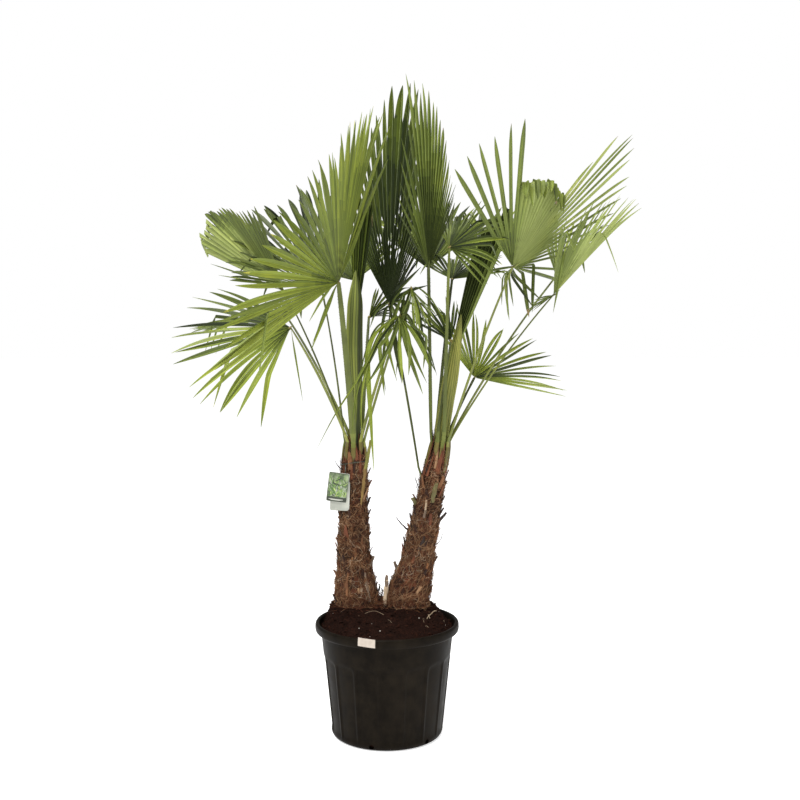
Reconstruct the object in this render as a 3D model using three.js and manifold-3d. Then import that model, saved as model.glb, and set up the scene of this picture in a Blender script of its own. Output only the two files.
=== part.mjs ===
// Windmill palm in a nursery pot: two shaggy trunks rising from one heap of soil, a crown of palmate
// fronds on each, and a plain black container. Millimetres, +Z up, origin at the centre of the pot's
// flat underside. +X is to the right and -Y towards the viewer.
import * as THREE from "three";
import { mergeVertices } from "three/addons/utils/BufferGeometryUtils.js";
import Module from "manifold-3d";

// ---------------------------------------------------------------- driving dimensions
const POT_HEIGHT = 350;          // underside to top of the lip
const POT_RIM_R = 221;           // outer radius of the rolled lip
const POT_LIP_H = 28;            // height of the lip band
const POT_SHOULDER_R = 203;      // body radius just under the lip
const POT_FOOT_R = 172;          // body radius above the rounded foot
const POT_BASE_R = 158;          // radius of the flat underside
const POT_WALL = 4;
const POT_FLOOR = 6;
const POT_SIDES = 40;
const DRAIN_HOLES = 6;           // slots through the bottom corner
const SOIL_EDGE_Z = 331;         // soil level against the wall
const SOIL_HEAP_Z = 386;         // soil level round the trunks
const SOIL_HEAP = [-15, 65, 160, 86]; // centre and half-widths of the heap's level top
const GAP = 0.4;                 // clearance between neighbouring solids

const TRUNK_SIDES = 14;
// each station: height, centre x, centre y, radius
const TRUNK_LEFT = [
  [SOIL_HEAP_Z + GAP, -93, 66, 70], [430, -98, 67, 64], [475, -101, 68, 58], [523, -104, 69, 51],
  [600, -105, 70, 46], [700, -105, 70, 44.5], [776, -103, 70, 44], [851, -101, 71, 43], [905, -101, 72, 42],
];
const TRUNK_RIGHT = [
  [SOIL_HEAP_Z + GAP, 60, 62, 68], [430, 68, 63, 65], [475, 80, 64, 60], [523, 93, 65, 53],
  [600, 109, 67, 47], [700, 128, 68, 43], [776, 142, 69, 41], [851, 158, 71, 40], [905, 167, 72, 41],
];

const SEG_STEPS = 8;             // steps along a leaf segment's curve
const BLADE_THICK = 3.2;
const BLADE_HUB_R = 13;          // the blade starts this far from its hub
const BLADE_TEETH = 8;           // pointed lobes that stand for the free leaflet tips
const BLADE_NOTCH = 0.66;        // depth of the notches, as a share of the length
const PETIOLE_SIDES = 6;
const PETIOLE_BASE_R = 6.8;
const PETIOLE_TIP_R = 4.6;
const PETIOLE_RING_R = 34;       // the petioles leave the trunk's top on this ring

const COLUMN_LEFT = [[912, -101, 64, 22], [1060, -97, 62, 24], [1200, -101, 60, 28], [1330, -98, 58, 25]];
const COLUMN_RIGHT = [[912, 168, 70, 24], [1010, 182, 68, 25], [1110, 199, 66, 23], [1195, 213, 64, 17]];

// Each frond: hub point; axis azimuth and elevation and roll about the axis, in degrees; cup and
// vee, how far the leaflets lift out of the plane at the axis and at the sides; droop under weight;
// the fan from its first to its last angle; leaflet lengths at even steps across the fan; the crown
// that carries its petiole, the petiole's bearing on the trunk top and its upward bow.
const FRONDS = {
  left_front: { hub: [-132, -240, 1375], dir: [-94.2, 44.9, -112.3], cup: -10.9, vee: -3.3, droop: 0.129, fan: [-76.8, 85.6], len: [658, 365, 337, 400, 538], crown: "L", bearing: -95, bow: 14 },
  left_low: { hub: [-275, -160, 1250], dir: [-161.2, -22.6, -38.3], cup: 1.1, vee: 0.5, droop: 0.137, fan: [50, -75.1], len: [354, 360, 351, 363, 313], crown: "L", bearing: -135, bow: 18 },
  left_far: { hub: [-321, 100, 1364], dir: [175.9, 42.5, 33.7], cup: 4.9, vee: -6.3, droop: 0.075, fan: [-32, 56], len: [401, 367, 327, 294, 336], crown: "L", bearing: 150, bow: 16 },
  left_behind: { hub: [-200, 60, 1365], dir: [135.0, 46.0, -24.1], cup: 6.1, vee: -5.9, droop: 0.054, fan: [62.4, -30.6], len: [280, 305, 323, 363, 389, 403, 477], crown: "L", bearing: -175, bow: 10 },
  left_back: { hub: [-114, 430, 1410], dir: [100, 30, 0], cup: 5, vee: 5, droop: 0.15, fan: [-45, 80], len: [300, 340, 370, 360, 330], crown: "L", bearing: 88, bow: 20 },
  left_back_low: { hub: [-334, 330, 1282], dir: [140, -4, -14], cup: 6, vee: 4, droop: 0.2, fan: [-68, 70], len: [290, 330, 350, 340, 300], crown: "L", bearing: 118, bow: 20 },
  left_inner: { hub: [-61, 240, 1285], dir: [30, 25, 60], cup: 5, vee: 4, droop: 0.1, fan: [-30, 48], len: [80, 95, 115, 120, 105], crown: "L", bearing: 50, bow: 10, teeth: 4 },
  centre_tall: { hub: [127, 0, 1426], dir: [-50.7, 82.6, -57.4], cup: -0.9, vee: -0.2, droop: 0.095, fan: [-11.9, 17.6], len: [587, 565, 520, 465, 385, 320, 285, 250, 215], crown: "R", bearing: -160, bow: 8 },
  centre_dark: { hub: [6, 120, 1321], dir: [115.8, 76.6, -44.0], cup: -1.9, vee: -0.3, droop: 0.105, fan: [22, -41.25], len: [205, 285, 370, 525, 655, 755, 754, 480, 250, 240, 220, 190], crown: "R", bearing: 0, bow: 8, root: [100, 70, 795] },
  centre_hanging: { hub: [40, -100, 1284], dir: [-80.4, -53.1, 8.6], cup: 22.6, vee: 10.1, droop: 0.296, fan: [-32.2, 27.6], len: [271, 398, 338, 334, 253], crown: "L", bearing: -52, bow: 12, teeth: 6 },
  centre_low: { hub: [73, -60, 1367], dir: [-70, -62, 0], cup: 10, vee: 8, droop: 0.2, fan: [-26, 26], len: [110, 145, 165, 150, 120], crown: "L", bearing: -20, bow: 8, teeth: 4 },
  centre_back: { hub: [135, 400, 1450], dir: [92, 45, 0], cup: 5, vee: 5, droop: 0.12, fan: [-50, 50], len: [300, 350, 370, 350, 300], crown: "R", bearing: 150, bow: 16 },
  right_high: { hub: [369, -100, 1426], dir: [-12.6, 43.0, -24.4], cup: 17.2, vee: -1.9, droop: 0.000, fan: [-81.2, 90.5], len: [422, 435, 450, 458, 462, 278, 262, 266, 278, 575, 600, 606, 605, 595, 580, 562, 549], crown: "R", bearing: -40, bow: 14 },
  right_far: { hub: [509, 40, 1349], dir: [-29.6, 45.9, 3.9], cup: 9.4, vee: -0.4, droop: 0.123, fan: [-53.4, 42.2], len: [432, 371, 348, 372, 460], crown: "R", bearing: -8, bow: 18 },
  right_low: { hub: [277, 160, 1091], dir: [64.0, 27.1, 33.1], cup: 9.1, vee: 5.8, droop: 0.056, fan: [74.1, -81.9], len: [328, 303, 300, 309, 296], crown: "R", bearing: 52, bow: 4 },
  right_level: { hub: [207, 200, 1405], dir: [66.2, 27.9, 7.6], cup: 6.0, vee: -15.5, droop: 0.084, fan: [52.1, -49.9], len: [237, 280, 276, 251, 261], crown: "R", bearing: 112, bow: 10, teeth: 6 },
  right_top: { hub: [185, -80, 1485], dir: [-15.6, 37.5, 47.1], cup: 0.4, vee: -0.9, droop: 0.187, fan: [92.1, -84.6], len: [221, 182, 181, 217, 233], crown: "R", bearing: -75, bow: 8, teeth: 6 },
  right_small: { hub: [196, 30, 1209], dir: [172, 64, -72], cup: 4, vee: 6, droop: 0.08, fan: [-42, 42], len: [115, 135, 165, 170, 140], crown: "R", bearing: -110, bow: 4, teeth: 4 },
  right_back: { hub: [307, 420, 1474], dir: [66, 34, 0], cup: 5, vee: 5, droop: 0.14, fan: [-60, 60], len: [290, 340, 360, 340, 290], crown: "R", bearing: 82, bow: 18 },
  right_back_far: { hub: [548, 260, 1416], dir: [50, 48, 0], cup: 5, vee: 5, droop: 0.14, fan: [-44, 34], len: [210, 240, 250, 240, 210], crown: "R", bearing: 22, bow: 22 },
  right_spear: { hub: [180, 64, 1091], dir: [10, 72.4, -133.5], cup: 1.2, vee: 0.3, droop: 0.142, fan: [-7.5, 5], len: [390, 513, 588, 588, 520], crown: "R", bearing: 0, bow: 0, teeth: 4, stalk: false },
  left_spear: { hub: [-100, 60, 1225], dir: [0, 86, 90], cup: 0, vee: 0, droop: 0.06, fan: [-6, 6], len: [330, 430, 460, 430, 330], crown: "L", bearing: 0, bow: 0, teeth: 4, stalk: false },
};

// ---------------------------------------------------------------- small helpers
const V = (x, y, z) => new THREE.Vector3(x, y, z);
const rad = (d) => (d * Math.PI) / 180;

function solidFrom(points, faces) {
  const g = new THREE.BufferGeometry();
  g.setAttribute("position", new THREE.Float32BufferAttribute(points.flatMap((p) => [p.x, p.y, p.z]), 3));
  g.setIndex(faces.flat());
  return g;
}

// A closed tube through rings of points, each ring given as an array of the same length.
function ringsToSolid(rings) {
  const n = rings[0].length;
  const pts = rings.flat();
  const faces = [];
  for (let i = 0; i + 1 < rings.length; i++) {
    for (let j = 0; j < n; j++) {
      const a = i * n + j, b = i * n + ((j + 1) % n), c = a + n, d = b + n;
      faces.push([a, b, d], [a, d, c]);
    }
  }
  const centre = (ring) => ring.reduce((s, p) => s.add(p), V(0, 0, 0)).multiplyScalar(1 / n);
  const lo = pts.length; pts.push(centre(rings[0]));
  const hi = pts.length; pts.push(centre(rings[rings.length - 1]));
  const last = (rings.length - 1) * n;
  for (let j = 0; j < n; j++) {
    faces.push([lo, (j + 1) % n, j]);
    faces.push([hi, last + j, last + ((j + 1) % n)]);
  }
  return solidFrom(pts, faces);
}

// Upright limb through stations of height, centre and radius, with shallow ribs.
function limb(stations, sides, rib = 0, grow = 0) {
  const rings = stations.map(([z, x, y, r], k) => {
    const ring = [];
    for (let j = 0; j < sides; j++) {
      const t = (2 * Math.PI * j) / sides;
      const rr = r + grow + rib * (j % 2 ? -1 : 1);
      const dz = k === 0 ? -grow : k === stations.length - 1 ? grow : 0;
      ring.push(V(x + rr * Math.cos(t), y + rr * Math.sin(t), z + dz));
    }
    return ring;
  });
  return ringsToSolid(rings);
}

// Tapering limb along a curve.
function taperAlong(curve, steps, sides, r0, r1, grow = 0) {
  const rings = [];
  const t0 = curve.getTangent(0);
  let side = V(0, 1, 0).cross(t0).normalize();
  if (side.lengthSq() < 0.1) side = V(1, 0, 0);
  for (let i = 0; i <= steps; i++) {
    const u = i / steps;
    const p = curve.getPoint(u), t = curve.getTangent(u).normalize();
    side.sub(t.clone().multiplyScalar(side.dot(t))).normalize();
    const up = t.clone().cross(side);
    const r = r0 + (r1 - r0) * u + grow;
    if (i === 0) p.addScaledVector(t, -grow);
    if (i === steps) p.addScaledVector(t, grow);
    const ring = [];
    for (let j = 0; j < sides; j++) {
      const a = (2 * Math.PI * j) / sides;
      ring.push(p.clone().addScaledVector(side, r * Math.cos(a)).addScaledVector(up, r * 0.8 * Math.sin(a)));
    }
    rings.push(ring);
  }
  return ringsToSolid(rings);
}

// ---------------------------------------------------------------- frond blades
function axes(f) {
  const [az, el, roll] = f.dir.map(rad);
  const a = V(Math.cos(el) * Math.cos(az), Math.cos(el) * Math.sin(az), Math.sin(el));
  const n0 = V(-Math.sin(el) * Math.cos(az), -Math.sin(el) * Math.sin(az), Math.cos(el));
  const m0 = a.clone().cross(n0);
  const n = n0.multiplyScalar(Math.cos(roll)).addScaledVector(m0, Math.sin(roll));
  return { a, n, b: n.clone().cross(a) };
}

function leafletLength(f, phi) {
  const x = ((phi - f.fan[0]) / (f.fan[1] - f.fan[0])) * (f.len.length - 1);
  const i = Math.min(f.len.length - 2, Math.max(0, Math.floor(x)));
  return f.len[i] + (f.len[i + 1] - f.len[i]) * (x - i);
}

// Point on the fan at angle phi, at distance r from the hub along the drooping leaflet.
function fanPoint(f, phi, r) {
  const { a, b, n } = axes(f);
  const ph = rad(phi), k = rad(f.cup + f.vee * Math.abs(Math.sin(ph)));
  const d0 = a.clone().multiplyScalar(Math.cos(k) * Math.cos(ph))
    .addScaledVector(b, Math.cos(k) * Math.sin(ph)).addScaledVector(n, Math.sin(k));
  const p = V(...f.hub);
  for (let i = 0; i < SEG_STEPS; i++) {
    const s = ((i + 0.5) / SEG_STEPS) * r;
    const d = d0.clone();
    d.z -= f.droop * (s / 500) ** 1.5;
    p.addScaledVector(d.normalize(), r / SEG_STEPS);
  }
  return p;
}

function fanNormal(f, phi, r) {
  const e = 0.5;
  const u = fanPoint(f, phi + e, r).sub(fanPoint(f, phi - e, r));
  const v = fanPoint(f, phi, r + 2).sub(fanPoint(f, phi, r - 2));
  return u.cross(v).normalize();
}

// Thin plate over the fan, with pointed lobes along its outer edge.
function blade(f, grow = 0) {
  const cols = 2 * (f.teeth ?? BLADE_TEETH);
  const pts = [], id = [];
  const half = BLADE_THICK / 2 + grow;
  const da = Math.sign(f.fan[1] - f.fan[0]);
  const put = (phi, r) => {
    const p = fanPoint(f, phi, r), n = fanNormal(f, phi, r);
    pts.push(p.clone().addScaledVector(n, half), p.clone().addScaledVector(n, -half));
    return pts.length - 2;
  };
  for (let j = 0; j <= cols; j++) {
    let phi = f.fan[0] + ((f.fan[1] - f.fan[0]) * j) / cols;
    const L = leafletLength(f, phi);
    const notch = (j === 0 || j === cols ? 0.8 : BLADE_NOTCH) * L;
    const edge = j === 0 ? -da : j === cols ? da : 0;
    const col = [put(phi + (edge * grow * 57.3) / BLADE_HUB_R, BLADE_HUB_R - grow)];
    for (const r of [0.36 * L, notch + grow]) col.push(put(phi + (edge * grow * 57.3) / r, r));
    if (j % 2) col.push(put(phi, L + grow));
    id.push(col);
  }
  const faces = [];
  const tri = (a, b, c) => faces.push([a, b, c], [a + 1, c + 1, b + 1]);
  for (let j = 0; j < cols; j++) {
    const A = id[j], B = id[j + 1];
    for (let i = 0; i < 2; i++) { tri(A[i], B[i], B[i + 1]); tri(A[i], B[i + 1], A[i + 1]); }
    if (j % 2) tri(A[2], B[2], A[3]); else tri(A[2], B[2], B[3]);
  }
  // walls round the outline
  const loop = [];
  for (let j = 0; j <= cols; j++) loop.push(id[j][0]);
  loop.push(id[cols][1], id[cols][2]);
  for (let j = cols - 1; j >= 1; j--) { if (j % 2) loop.push(id[j][3]); else loop.push(id[j][2]); }
  loop.push(id[0][2], id[0][1]);
  for (let i = 0; i < loop.length; i++) {
    const a = loop[i], b = loop[(i + 1) % loop.length];
    faces.push([b, a, a + 1], [b, a + 1, b + 1]);
  }
  const g = solidFrom(pts, faces);
  return outward(g);
}

// Flips the faces when the enclosed volume comes out negative.
function outward(g) {
  const p = g.getAttribute("position"), ix = g.getIndex().array;
  const a = V(0, 0, 0), b = V(0, 0, 0), c = V(0, 0, 0);
  let vol = 0;
  for (let i = 0; i < ix.length; i += 3) {
    a.fromBufferAttribute(p, ix[i]); b.fromBufferAttribute(p, ix[i + 1]); c.fromBufferAttribute(p, ix[i + 2]);
    vol += a.dot(b.cross(c));
  }
  if (vol < 0) {
    const out = [];
    for (let i = 0; i < ix.length; i += 3) out.push(ix[i], ix[i + 2], ix[i + 1]);
    g.setIndex(out);
  }
  return g;
}


// ---------------------------------------------------------------- container and soil
function lathe(profile, sides) {
  return cleaned(new THREE.LatheGeometry(profile.map(([r, z]) => new THREE.Vector2(r, z)), sides).rotateX(Math.PI / 2));
}

function cleaned(g) {
  g.deleteAttribute("normal"); g.deleteAttribute("uv");
  const m = mergeVertices(g, 1e-4);
  const ix = m.getIndex().array, keep = [];
  for (let i = 0; i < ix.length; i += 3) {
    const [a, b, c] = [ix[i], ix[i + 1], ix[i + 2]];
    if (a !== b && b !== c && a !== c) keep.push(a, b, c);
  }
  m.setIndex(keep);
  return outward(m);
}

function potWall(z) {            // outer radius of the body at a height
  return POT_FOOT_R + ((POT_SHOULDER_R - POT_FOOT_R) * (z - 18)) / (POT_HEIGHT - POT_LIP_H - 18);
}

function potShell() {
  const lipZ = POT_HEIGHT - POT_LIP_H;
  return lathe([
    [0, 0], [POT_BASE_R, 0], [POT_FOOT_R - 4, 6], [POT_FOOT_R, 18], [potWall(160), 160], [POT_SHOULDER_R, lipZ - 2],
    [POT_RIM_R - 6, lipZ], [POT_RIM_R, lipZ + 8], [POT_RIM_R, POT_HEIGHT - 8], [POT_RIM_R - 5, POT_HEIGHT],
    [POT_RIM_R - 13, POT_HEIGHT - 2], [POT_SHOULDER_R - POT_WALL + 4, lipZ - 4], [potWall(160) - POT_WALL, 160],
    [POT_FOOT_R - POT_WALL, 20], [POT_FOOT_R - POT_WALL - 8, POT_FLOOR], [0, POT_FLOOR],
  ], POT_SIDES);
}

// The soil fills the container and rises to a heap under the trunks.
function soilBody() {
  const lipZ = POT_HEIGHT - POT_LIP_H, n = POT_SIDES, in_ = POT_WALL + GAP + 1.4;
  const ring = (r, z) => Array.from({ length: n }, (_, j) => V(r * Math.cos((2 * Math.PI * (j + 0.5)) / n), r * Math.sin((2 * Math.PI * (j + 0.5)) / n), z));
  const rings = [ring(POT_FOOT_R - in_ - 9, POT_FLOOR + GAP), ring(POT_FOOT_R - in_, 22), ring(potWall(160) - in_, 160), ring(POT_SHOULDER_R - in_ + 2, lipZ - 4), ring(POT_SHOULDER_R - in_ + 6, SOIL_EDGE_Z)];
  const [cx, cy, rx, ry] = SOIL_HEAP, r0 = POT_SHOULDER_R - in_ + 6;
  for (const [t, h] of [[0.34, 0.24], [0.7, 0.72], [1, 1]]) {
    rings.push(Array.from({ length: n }, (_, j) => {
      const a = (2 * Math.PI * (j + 0.5)) / n;
      return V(cx * t + (r0 + (rx - r0) * t) * Math.cos(a), cy * t + (r0 + (ry - r0) * t) * Math.sin(a), SOIL_EDGE_Z + (SOIL_HEAP_Z - SOIL_EDGE_Z) * h);
    }));
  }
  return ringsToSolid(rings);
}

// ---------------------------------------------------------------- petioles
const crownTop = { L: TRUNK_LEFT[TRUNK_LEFT.length - 1], R: TRUNK_RIGHT[TRUNK_RIGHT.length - 1] };

function petioleCurve(f) {
  const [z, x, y] = crownTop[f.crown];
  const hub = V(...f.hub);
  const foot = f.root ? V(...f.root) : V(x + PETIOLE_RING_R * Math.cos(rad(f.bearing)), y + PETIOLE_RING_R * Math.sin(rad(f.bearing)), z + 2.5);
  const way = hub.clone().sub(foot);
  const mid = foot.clone().addScaledVector(way, 0.5);
  const out = V(way.x, way.y, 0).normalize();
  mid.z += f.bow; mid.addScaledVector(out, -f.bow);
  return new THREE.QuadraticBezierCurve3(foot, mid, hub.addScaledVector(way.normalize(), -3));
}

// ---------------------------------------------------------------- labels
function card(w, h, t) { return new THREE.BoxGeometry(w, t, h); }

function stickerPatch(r, t, width, height) {
  const half = width / r / 2, shape = new THREE.Shape();
  shape.absarc(0, 0, r + t, -half, half, false);
  shape.absarc(0, 0, r, half, -half, true);
  shape.closePath();
  return cleaned(new THREE.ExtrudeGeometry(shape, { depth: height, bevelEnabled: false, curveSegments: 4 }));
}

// ---------------------------------------------------------------- cutting neighbours apart
const wasm = await Module();
wasm.setup();

function toSolid(g) {
  const m = cleaned(g.clone());
  return new wasm.Manifold(new wasm.Mesh({ numProp: 3, vertProperties: new Float32Array(m.getAttribute("position").array), triVerts: new Uint32Array(m.getIndex().array) }));
}

function fromSolid(s) {
  const m = s.getMesh(), g = new THREE.BufferGeometry();
  g.setAttribute("position", new THREE.Float32BufferAttribute(Array.from(m.vertProperties), 3));
  g.setIndex(Array.from(m.triVerts));
  return g;
}

const boxesMeet = (a, b) => a.min.every((v, i) => v < b.max[i] && b.min[i] < a.max[i]);

// ---------------------------------------------------------------- the plant
const group = new THREE.Group();
const materials = {
  pot: new THREE.MeshStandardMaterial({ color: 0x25231f, roughness: 0.5, metalness: 0 }),
  soil: new THREE.MeshStandardMaterial({ color: 0x2a1812, roughness: 1, metalness: 0 }),
  fibre: new THREE.MeshStandardMaterial({ color: 0x5c4231, roughness: 1, metalness: 0 }),
  stalk: new THREE.MeshStandardMaterial({ color: 0x6d7a3c, roughness: 0.5, metalness: 0 }),
  leaf: new THREE.MeshStandardMaterial({ color: 0x566b2c, roughness: 0.45, metalness: 0 }),
  card: new THREE.MeshStandardMaterial({ color: 0xdcd8c8, roughness: 0.6, metalness: 0 }),
};

function add(name, geometry, material) {
  const mesh = new THREE.Mesh(geometry, material);
  mesh.name = name;
  group.add(mesh);
  return mesh;
}

let shell = toSolid(potShell());
for (let k = 0; k < DRAIN_HOLES; k++) {
  const slot = cleaned(new THREE.CylinderGeometry(8, 8, 60, 12));
  slot.rotateX(Math.PI / 2).translate(0, 0, 0).rotateY(rad(90));
  slot.rotateZ(0).translate(POT_FOOT_R - 4, 0, 13).rotateZ(rad(-105 + (360 / DRAIN_HOLES) * k));
  shell = shell.subtract(toSolid(slot));
}
add("pot", fromSolid(shell), materials.pot);
add("soil", soilBody(), materials.soil);
add("trunk_left", limb(TRUNK_LEFT, TRUNK_SIDES, 1.6), materials.fibre);
add("trunk_right", limb(TRUNK_RIGHT, TRUNK_SIDES, 1.6), materials.fibre);
add("stalks_left", limb(COLUMN_LEFT, 8), materials.stalk);
add("stalks_right", limb(COLUMN_RIGHT, 8), materials.stalk);

// Each stalk and blade is cut clear of those made before it, and keeps its largest piece.
const placed = [];
const place = (name, make, material) => {
  let s = toSolid(make(0));
  const box = s.boundingBox();
  let cut = false;
  for (const q of placed) {
    if (!boxesMeet(box, q.box)) continue;
    if (s.intersect(q.solid).volume() > 0) { s = s.subtract(q.solid); cut = true; }
  }
  if (cut) s = s.decompose().sort((a, b) => b.volume() - a.volume())[0];
  add(name, fromSolid(s), material);
  const big = toSolid(make(GAP));
  placed.push({ name, solid: big, box: big.boundingBox() });
};
for (const [st, sides, rib] of [[TRUNK_LEFT, TRUNK_SIDES, 1.6], [TRUNK_RIGHT, TRUNK_SIDES, 1.6], [COLUMN_LEFT, 8, 0], [COLUMN_RIGHT, 8, 0]]) {
  const big = toSolid(limb(st, sides, rib, GAP));
  placed.push({ name: "limb", solid: big, box: big.boundingBox() });
}
for (const [name, f] of Object.entries(FRONDS)) {
  if (f.stalk === false) continue;
  place(name + "_petiole", (g) => taperAlong(petioleCurve(f), 4, PETIOLE_SIDES, PETIOLE_BASE_R, PETIOLE_TIP_R, g), materials.stalk);
}
for (const [name, f] of Object.entries(FRONDS)) place(name + "_blade", (g) => blade(f, g), materials.leaf);

// Hang tag of two plain cards on the left trunk, and a blank patch on the lip.
const tagTurn = new THREE.Group();
tagTurn.position.set(-151, 18, 760);
tagTurn.rotation.set(0, rad(7), rad(-4));
group.add(tagTurn);
const front = new THREE.Mesh(card(64, 91, 1), materials.card);
front.name = "tag_front";
tagTurn.add(front);
const back = new THREE.Mesh(card(60, 91, 1), materials.card);
back.name = "tag_back";
back.position.set(9, 4, -26);
back.rotation.set(0, rad(-5), 0);
tagTurn.add(back);
const patch = add("sticker", stickerPatch(POT_RIM_R + GAP, 0.5, 52, 25), materials.card);
patch.position.set(0, 0, POT_HEIGHT - 27);
patch.rotation.z = rad(-105);

export default group;
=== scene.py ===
"""Looks of the windmill palm in its nursery pot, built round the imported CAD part.

Lengths below are in millimetres and are scaled when a mesh is made. Every frond follows the same
curve as its CAD blade, and is a fan of folded leaflets that are joined near the hub.
"""
import math

import bpy
import numpy as np
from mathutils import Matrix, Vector


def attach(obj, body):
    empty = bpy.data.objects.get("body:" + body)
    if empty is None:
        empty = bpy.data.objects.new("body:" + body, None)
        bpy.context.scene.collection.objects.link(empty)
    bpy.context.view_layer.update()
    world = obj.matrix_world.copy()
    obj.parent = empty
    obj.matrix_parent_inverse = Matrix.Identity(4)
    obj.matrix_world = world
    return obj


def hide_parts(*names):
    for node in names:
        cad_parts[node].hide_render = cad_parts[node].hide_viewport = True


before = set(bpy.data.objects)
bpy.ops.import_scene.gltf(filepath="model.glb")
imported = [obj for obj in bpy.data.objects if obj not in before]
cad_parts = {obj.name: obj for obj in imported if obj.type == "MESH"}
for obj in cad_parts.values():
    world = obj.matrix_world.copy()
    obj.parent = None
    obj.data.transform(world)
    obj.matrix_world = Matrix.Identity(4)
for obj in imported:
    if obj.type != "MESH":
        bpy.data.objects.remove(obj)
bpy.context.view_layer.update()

# ---------------------------------------------------------------- sizes
POT_HEIGHT, POT_RIM_R, POT_LIP_H = 350, 221, 28
POT_SHOULDER_R, POT_FOOT_R, POT_BASE_R = 203, 172, 158
POT_WALL, POT_FLOOR = 4, 6
SOIL_EDGE_Z, SOIL_HEAP_Z = 331, 386
SOIL_HEAP = (-15, 65, 160, 86)
PANELS = 16

TRUNK = {
    "L": [[386.4, -93, 66, 70], [430, -98, 67, 64], [475, -101, 68, 58], [523, -104, 69, 51],
          [600, -105, 70, 46], [700, -105, 70, 44.5], [776, -103, 70, 44], [851, -101, 71, 43], [905, -101, 72, 42]],
    "R": [[386.4, 60, 62, 68], [430, 68, 63, 65], [475, 80, 64, 60], [523, 93, 65, 53],
          [600, 109, 67, 47], [700, 128, 68, 43], [776, 142, 69, 41], [851, 158, 71, 40], [905, 167, 72, 41]],
}
COLUMN = {
    "L": [[912, -101, 64, 18], [1060, -97, 62, 20], [1200, -101, 60, 26], [1330, -98, 58, 25]],
    "R": [[912, 168, 70, 24], [1010, 182, 68, 25], [1110, 199, 66, 23], [1195, 213, 64, 17]],
}
PETIOLE_RING_R = 34

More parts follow.
